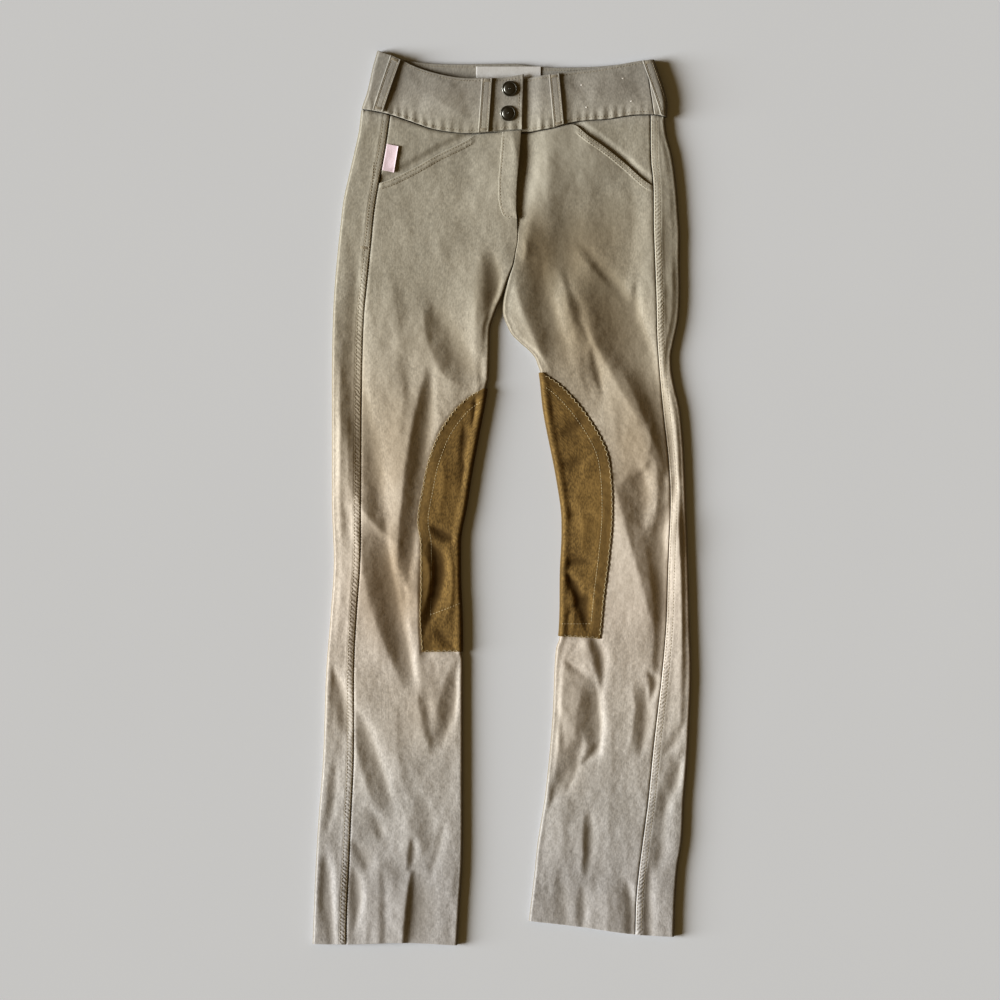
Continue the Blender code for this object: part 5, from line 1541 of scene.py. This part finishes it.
def suede_material(name, colour):
    """Suede: a mottled nap, with painted shade in hollows and on turned edges, darker along its stitched
    border, and a painted highlight on crests.
    """
    material, tree, shader = new_material(name, roughness=0.95, sheen_weight=0.25, sheen_roughness=0.4,
                                          sheen_tint=tone(colour, 2.2))
    cloth = uv_of(tree)
    nap = use_group(tree, "uneven_dye", Vector=cloth, Cloud=17.0, Streak=120.0, Grain=700.0,
                    Contrast=1.35)["Value"]
    crease = use_group(tree, "creases")
    # painted shade in hollows and on turned edges, and a painted highlight on crests
    base = overlay(tree, blend(tree, nap, tone(colour, 0.66, 0.1), tone(colour, 1.34)), colour,
                   (crease["Hollow"], 0.8, 0.45, 0.3), (crease["Worn"], 0.6, 1.4, 0.0),
                   (crease["Edge"], 0.8, 0.45, 0.1))
    across = node(tree, "SeparateXYZ", {0: cloth}).outputs[0]
    border = scaled(tree, across, 1.15 * PATCH_ROW * MM, 0.8 * PATCH_ROW * MM, 0.0, 0.55)
    paint(tree, shader, blend(tree, border, base, tone(colour, 0.72, 0.1)))
    under = bump(tree, shader, noise(tree, cloth, 260.0, 4.0, 0.6), 0.0007, 0.5)
    bump(tree, shader, noise(tree, cloth, 1500.0), 0.0002, 0.5, under)
    return material


def tape_material(name, colour):
    """Woven label tape: fine warp and weft threads, slightly soiled."""
    material, tree, shader = new_material(name, roughness=0.7, sheen_weight=0.1)
    cloth = uv_of(tree)
    weave = use_group(tree, "twill_weave", Vector=cloth, Pitch=0.0006, Slant=0.0)
    dye = use_group(tree, "uneven_dye", Vector=cloth, Cloud=90.0, Contrast=0.7)["Value"]
    paint(tree, shader, blend(tree, dye, tone(colour, 0.90, 0.04), tone(colour, 1.05)))
    bump(tree, shader, weave["Height"], 0.0001, 0.6)
    return material


def thread_material(name, colour):
    """Spun thread: strands that catch the light unevenly along each stitch."""
    material, tree, shader = new_material(name, roughness=0.6, sheen_weight=0.1)
    strand = noise(tree, place_of(tree), 900.0)
    paint(tree, shader, blend(tree, strand, tone(colour, 0.72), tone(colour, 1.25)))
    bump(tree, shader, strand, 0.00012, 0.7)
    return material


def metal_material(name, colour):
    """Gunmetal finish: brushed by fine noise, rubbed brighter in small patches."""
    material, tree, shader = new_material(name, metallic=1.0)
    place = place_of(tree)
    rubbed = noise(tree, place, 420.0, 4.0, 0.7)
    paint(tree, shader, blend(tree, rubbed, tone(colour, 0.65), tone(colour, 1.5)))
    tree.links.new(maths(tree, "MULTIPLY_ADD", rubbed, 0.24, 0.26), shader.inputs["Roughness"])
    bump(tree, shader, noise(tree, place, 2600.0), 0.00004, 0.5)
    return material


def floor_material(name, colour):
    """Matt pale card with a faint unevenness."""
    material, tree, shader = new_material(name, roughness=0.9)
    place = place_of(tree)
    paint(tree, shader, blend(tree, noise(tree, place, 3.0, 4.0), tone(colour, 0.985), tone(colour, 1.015)))
    bump(tree, shader, noise(tree, place, 500.0), 0.0001, 0.2)
    return material


def material_for(key):
    """The material of one finish, made the first time that it is asked for."""
    kinds = {
        "stretch_twill": (twill_material, "twill_colour"),
        "knee_suede": (suede_material, "suede_colour"),
        "cream_tape": (tape_material, "neck_label_colour"),
        "white_tape": (tape_material, "side_label_colour"),
        "twill_thread": (thread_material, "thread_colour"),
        "suede_thread": (thread_material, "suede_thread_colour"),
        "white_thread": (thread_material, "tack_thread_colour"),
        "gunmetal": (metal_material, "snap_colour"),
    }
    if "uneven_dye" not in bpy.data.node_groups:
        for make in (make_dye_group, make_shade_patch_group, make_weave_group, make_crease_group,
                     make_rope_group):
            make()
    if key in bpy.data.materials:
        return bpy.data.materials[key]
    maker, colour = kinds[key]
    return maker(key, tuple(getattr(settings(), colour)))


# ---- sizes and colours

def colour_property(name, description, default):
    """A colour that a user sets."""
    return bpy.props.FloatVectorProperty(name=name, description=description, default=default,
                                         subtype="COLOR", size=3, min=0.0, max=1.0)


def number_property(name, description, default, least, most, **kind):
    """A number that a user sets."""
    return bpy.props.FloatProperty(name=name, description=description, default=default, min=least, max=most,
                                   **kind)


def length_property(*about, precision=5):
    """A length that a user sets."""
    return number_property(*about, precision=precision, subtype="DISTANCE", unit="LENGTH")


class BREECHES_PG_cloth(bpy.types.PropertyGroup):
    """Sizes and colours of the breeches."""

    fold_depth: number_property("Fold depth", "How deep the front's folds are, as a share of their own depth",
                                1.25, 0.2, 1.5, subtype="FACTOR")
    weave_pitch: length_property("Weave pitch", "Distance between two ribs of the twill",
                                 0.0009, 0.0003, 0.003)
    stitch_pitch: length_property("Stitch pitch", "Distance from one stitch to the next",
                                  0.0032, 0.0015, 0.006)
    thread_width: length_property("Thread width", "Thickness of the sewing thread",
                                  0.00052, 0.0002, 0.0009)
    twill_colour: colour_property("Twill", "Colour of the stretch twill", (0.43, 0.392, 0.328))
    thread_colour: colour_property("Thread", "Colour of the sewing thread", (0.40, 0.345, 0.26))
    suede_colour: colour_property("Suede", "Colour of the knee patches", (0.215, 0.143, 0.054))
    suede_thread_colour: colour_property("Suede thread", "Colour of the thread on the knee patches",
                                         (0.62, 0.54, 0.38))
    neck_label_colour: colour_property("Waist label", "Colour of the label inside the waistband",
                                       (0.61, 0.60, 0.60))
    side_label_colour: colour_property("Side label", "Colour of the label in the side seam",
                                       (0.80, 0.66, 0.73))
    tack_thread_colour: colour_property("Tacks", "Colour of the tacking stitches in the waistband",
                                        (0.80, 0.76, 0.72))
    snap_colour: colour_property("Snap caps", "Colour of the snap caps", (0.17, 0.165, 0.15))


class BREECHES_PG_stage(bpy.types.PropertyGroup):
    """Floor, lights and camera."""

    floor_colour: colour_property("Floor", "Colour of the floor", (0.655, 0.665, 0.70))
    key_strength: number_property("Window light", "Strength of the low, soft light from the left",
                                  5.5, 0.0, 20.0)
    key_height: number_property("Window height", "Angle of the middle of that light above the floor",
                                math.radians(18.5), 0.0, math.radians(90.0), subtype="ANGLE")
    key_spread: number_property("Window size", "Angle that the light takes up, which sets how soft it is",
                                math.radians(28.0), 0.0, math.radians(90.0), subtype="ANGLE")
    fill_strength: number_property("Room light", "Strength of the light that comes from all sides",
                                   0.13, 0.0, 5.0)
    camera_height: length_property("Camera height", "Height of the camera above the garment",
                                   3.5, 1.0, 10.0, precision=2)


# ---- operators and panel


class BREECHES_OT_stage(bpy.types.Operator):
    """Add the floor, the window light, the room light and the camera"""

    bl_idname = "breeches.stage"
    bl_label = "Stage"

    def execute(self, context):
        stage = context.scene.breeches_stage
        corners = [(x * FLOOR_REACH, y * FLOOR_REACH, FLOOR_LEVEL)
                   for x, y in ((-1.0, -1.0), (1.0, -1.0), (1.0, 1.0), (-1.0, 1.0))]
        mesh = bpy.data.meshes.new("floor")
        mesh.from_pydata(corners, [], [(0, 1, 2, 3)])
        mesh.materials.append(floor_material("pale_floor", tuple(stage.floor_colour)))
        floor = add_object("floor", mesh)

        lamp = bpy.data.lights.new("window", "SUN")
        lamp.energy, lamp.angle, lamp.color = stage.key_strength, stage.key_spread, WINDOW_TINT
        level = math.cos(stage.key_height)
        towards = Vector((level * math.cos(WINDOW_SIDE), level * math.sin(WINDOW_SIDE),
                          math.sin(stage.key_height)))
        add_object("window", lamp).rotation_euler = towards.to_track_quat("Z", "Y").to_euler()

        world = bpy.data.worlds.new("room")
        world.use_nodes = True
        room = world.node_tree.nodes["Background"].inputs
        room["Color"].default_value = (*ROOM_TINT, 1.0)
        room["Strength"].default_value = stage.fill_strength
        context.scene.world = world
        context.scene.view_settings.view_transform = "Standard"
        context.scene.view_settings.look = "High Contrast"

        lens = bpy.data.cameras.new("camera")
        lens.sensor_width = 36.0
        lens.lens = 36.0 * stage.camera_height / VIEW_WIDTH
        lens.clip_start, lens.clip_end = 0.1, 50.0
        camera = add_object("camera", lens)
        camera.location = (*VIEW_CENTRE, stage.camera_height)
        context.scene.camera = camera
        return {"FINISHED"}


class BREECHES_OT_legs(bpy.types.Operator):
    """Add the front and back panels of both halves"""

    bl_idname = "breeches.legs"
    bl_label = "Leg panels"

    def execute(self, context):
        twill = material_for("stretch_twill")
        for half, creases in ((RIGHT, CREASES_RIGHT), (LEFT, CREASES_LEFT)):
            stand_for(back_panel(half, creases, twill))
            stand_for(front_panel(half, twill))
        return {"FINISHED"}


class BREECHES_OT_pockets(bpy.types.Operator):
    """Add the pocket facings"""

    bl_idname = "breeches.pockets"
    bl_label = "Pockets"

    def execute(self, context):
        twill = material_for("stretch_twill")
        for half in (RIGHT, LEFT):
            stand_for(pocket_facing(half, twill))
        return {"FINISHED"}


class BREECHES_OT_fly(bpy.types.Operator):
    """Add the fly placket"""

    bl_idname = "breeches.fly"
    bl_label = "Fly"

    def execute(self, context):
        stand_for(placket(material_for("stretch_twill")))
        return {"FINISHED"}


class BREECHES_OT_waistband(bpy.types.Operator):
    """Add the three pieces of the waistband"""

    bl_idname = "breeches.waistband"
    bl_label = "Waistband"

    def execute(self, context):
        twill = material_for("stretch_twill")
        stand_for(waistband_back(twill))
        stand_for(waistband_front("waistband_front_right", right_band_path, right_band_height,
                                  BAND_TOP_RIGHT, BAND_END_RIGHT, twill))
        stand_for(waistband_front("waistband_front_left", left_band_path, left_band_height,
                                  BAND_TOP_LEFT, BAND_SEAM, twill))
        return {"FINISHED"}


class BREECHES_OT_belt_loops(bpy.types.Operator):
    """Add the four belt loops"""

    bl_idname = "breeches.belt_loops"
    bl_label = "Belt loops"

    def execute(self, context):
        for loop in LOOPS:
            stand_for(belt_loop(loop, material_for("stretch_twill")))
        return {"FINISHED"}


class BREECHES_OT_knee_patches(bpy.types.Operator):
    """Add the suede knee patches"""

    bl_idname = "breeches.knee_patches"
    bl_label = "Knee patches"

    def execute(self, context):
        for half in (RIGHT, LEFT):
            stand_for(knee_patch(half, material_for("knee_suede")))
        return {"FINISHED"}


class BREECHES_OT_snaps(bpy.types.Operator):
    """Add the two snap caps on the tab"""

    bl_idname = "breeches.snaps"
    bl_label = "Snap caps"

    def execute(self, context):
        for name, place in (("snap_cap_upper", SNAP_UPPER), ("snap_cap_lower", SNAP_LOWER)):
            cap = snap_cap(name + "_turned", *place, material_for("gunmetal"))
            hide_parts(name)
        return {"FINISHED"}


class BREECHES_OT_labels(bpy.types.Operator):
    """Add the blank labels inside the waistband and in the side seam"""

    bl_idname = "breeches.labels"
    bl_label = "Labels"

    def execute(self, context):
        stand_for(neck_label(material_for("cream_tape")))
        stand_for(side_label(material_for("white_tape")))
        return {"FINISHED"}


class BREECHES_OT_stitching(bpy.types.Operator):
    """Add the stitch rows, as small threads that lie on the cloth"""

    bl_idname = "breeches.stitching"
    bl_label = "Stitching"

    def execute(self, context):
        sewing = [
            ("thread_waist", waist_stitches() + fly_stitches(), "twill_thread", "twill"),
            ("thread_leg_right", leg_stitches(RIGHT) + slit_stitches(), "twill_thread", "twill"),
            ("thread_leg_left", leg_stitches(LEFT), "twill_thread", "twill"),
            ("thread_patch_right", patch_stitches(RIGHT), "suede_thread", "suede"),
            ("thread_patch_left", patch_stitches(LEFT), "suede_thread", "suede"),
            ("thread_tacks", tack_stitches(), "white_thread", "label_tape"),
        ]
        for name, rows, material, slot_name in sewing:
            threads(name, np.concatenate(rows), material_for(material))
        return {"FINISHED"}


OPERATORS = (
    BREECHES_OT_stage, BREECHES_OT_legs, BREECHES_OT_pockets, BREECHES_OT_fly, BREECHES_OT_waistband,
    BREECHES_OT_belt_loops, BREECHES_OT_knee_patches, BREECHES_OT_snaps, BREECHES_OT_labels,
    BREECHES_OT_stitching,
)


class BREECHES_PT_build(bpy.types.Panel):
    """Lists the sizes, the colours and the pieces"""

    bl_idname = "BREECHES_PT_build"
    bl_label = "Riding breeches"
    bl_space_type = "VIEW_3D"
    bl_region_type = "UI"
    bl_category = "Breeches"

    def draw(self, context):
        for group in (context.scene.breeches_cloth, context.scene.breeches_stage):
            box = self.layout.box()
            for name in group.__annotations__:
                box.prop(group, name)
        for operator in OPERATORS:
            self.layout.operator(operator.bl_idname)


CLASSES = (BREECHES_PG_cloth, BREECHES_PG_stage) + OPERATORS + (BREECHES_PT_build,)


def register():
    for item in CLASSES:
        bpy.utils.register_class(item)
    bpy.types.Scene.breeches_cloth = bpy.props.PointerProperty(type=BREECHES_PG_cloth)
    bpy.types.Scene.breeches_stage = bpy.props.PointerProperty(type=BREECHES_PG_stage)


def unregister():
    del bpy.types.Scene.breeches_stage
    del bpy.types.Scene.breeches_cloth
    for item in reversed(CLASSES):
        bpy.utils.unregister_class(item)


def main():
    """Builds the stage and every piece."""
    register()
    for operator in OPERATORS:
        group, name = operator.bl_idname.split(".")
        getattr(getattr(bpy.ops, group), name)()
    bpy.context.view_layer.update()


if __name__ == "__main__":
    main()
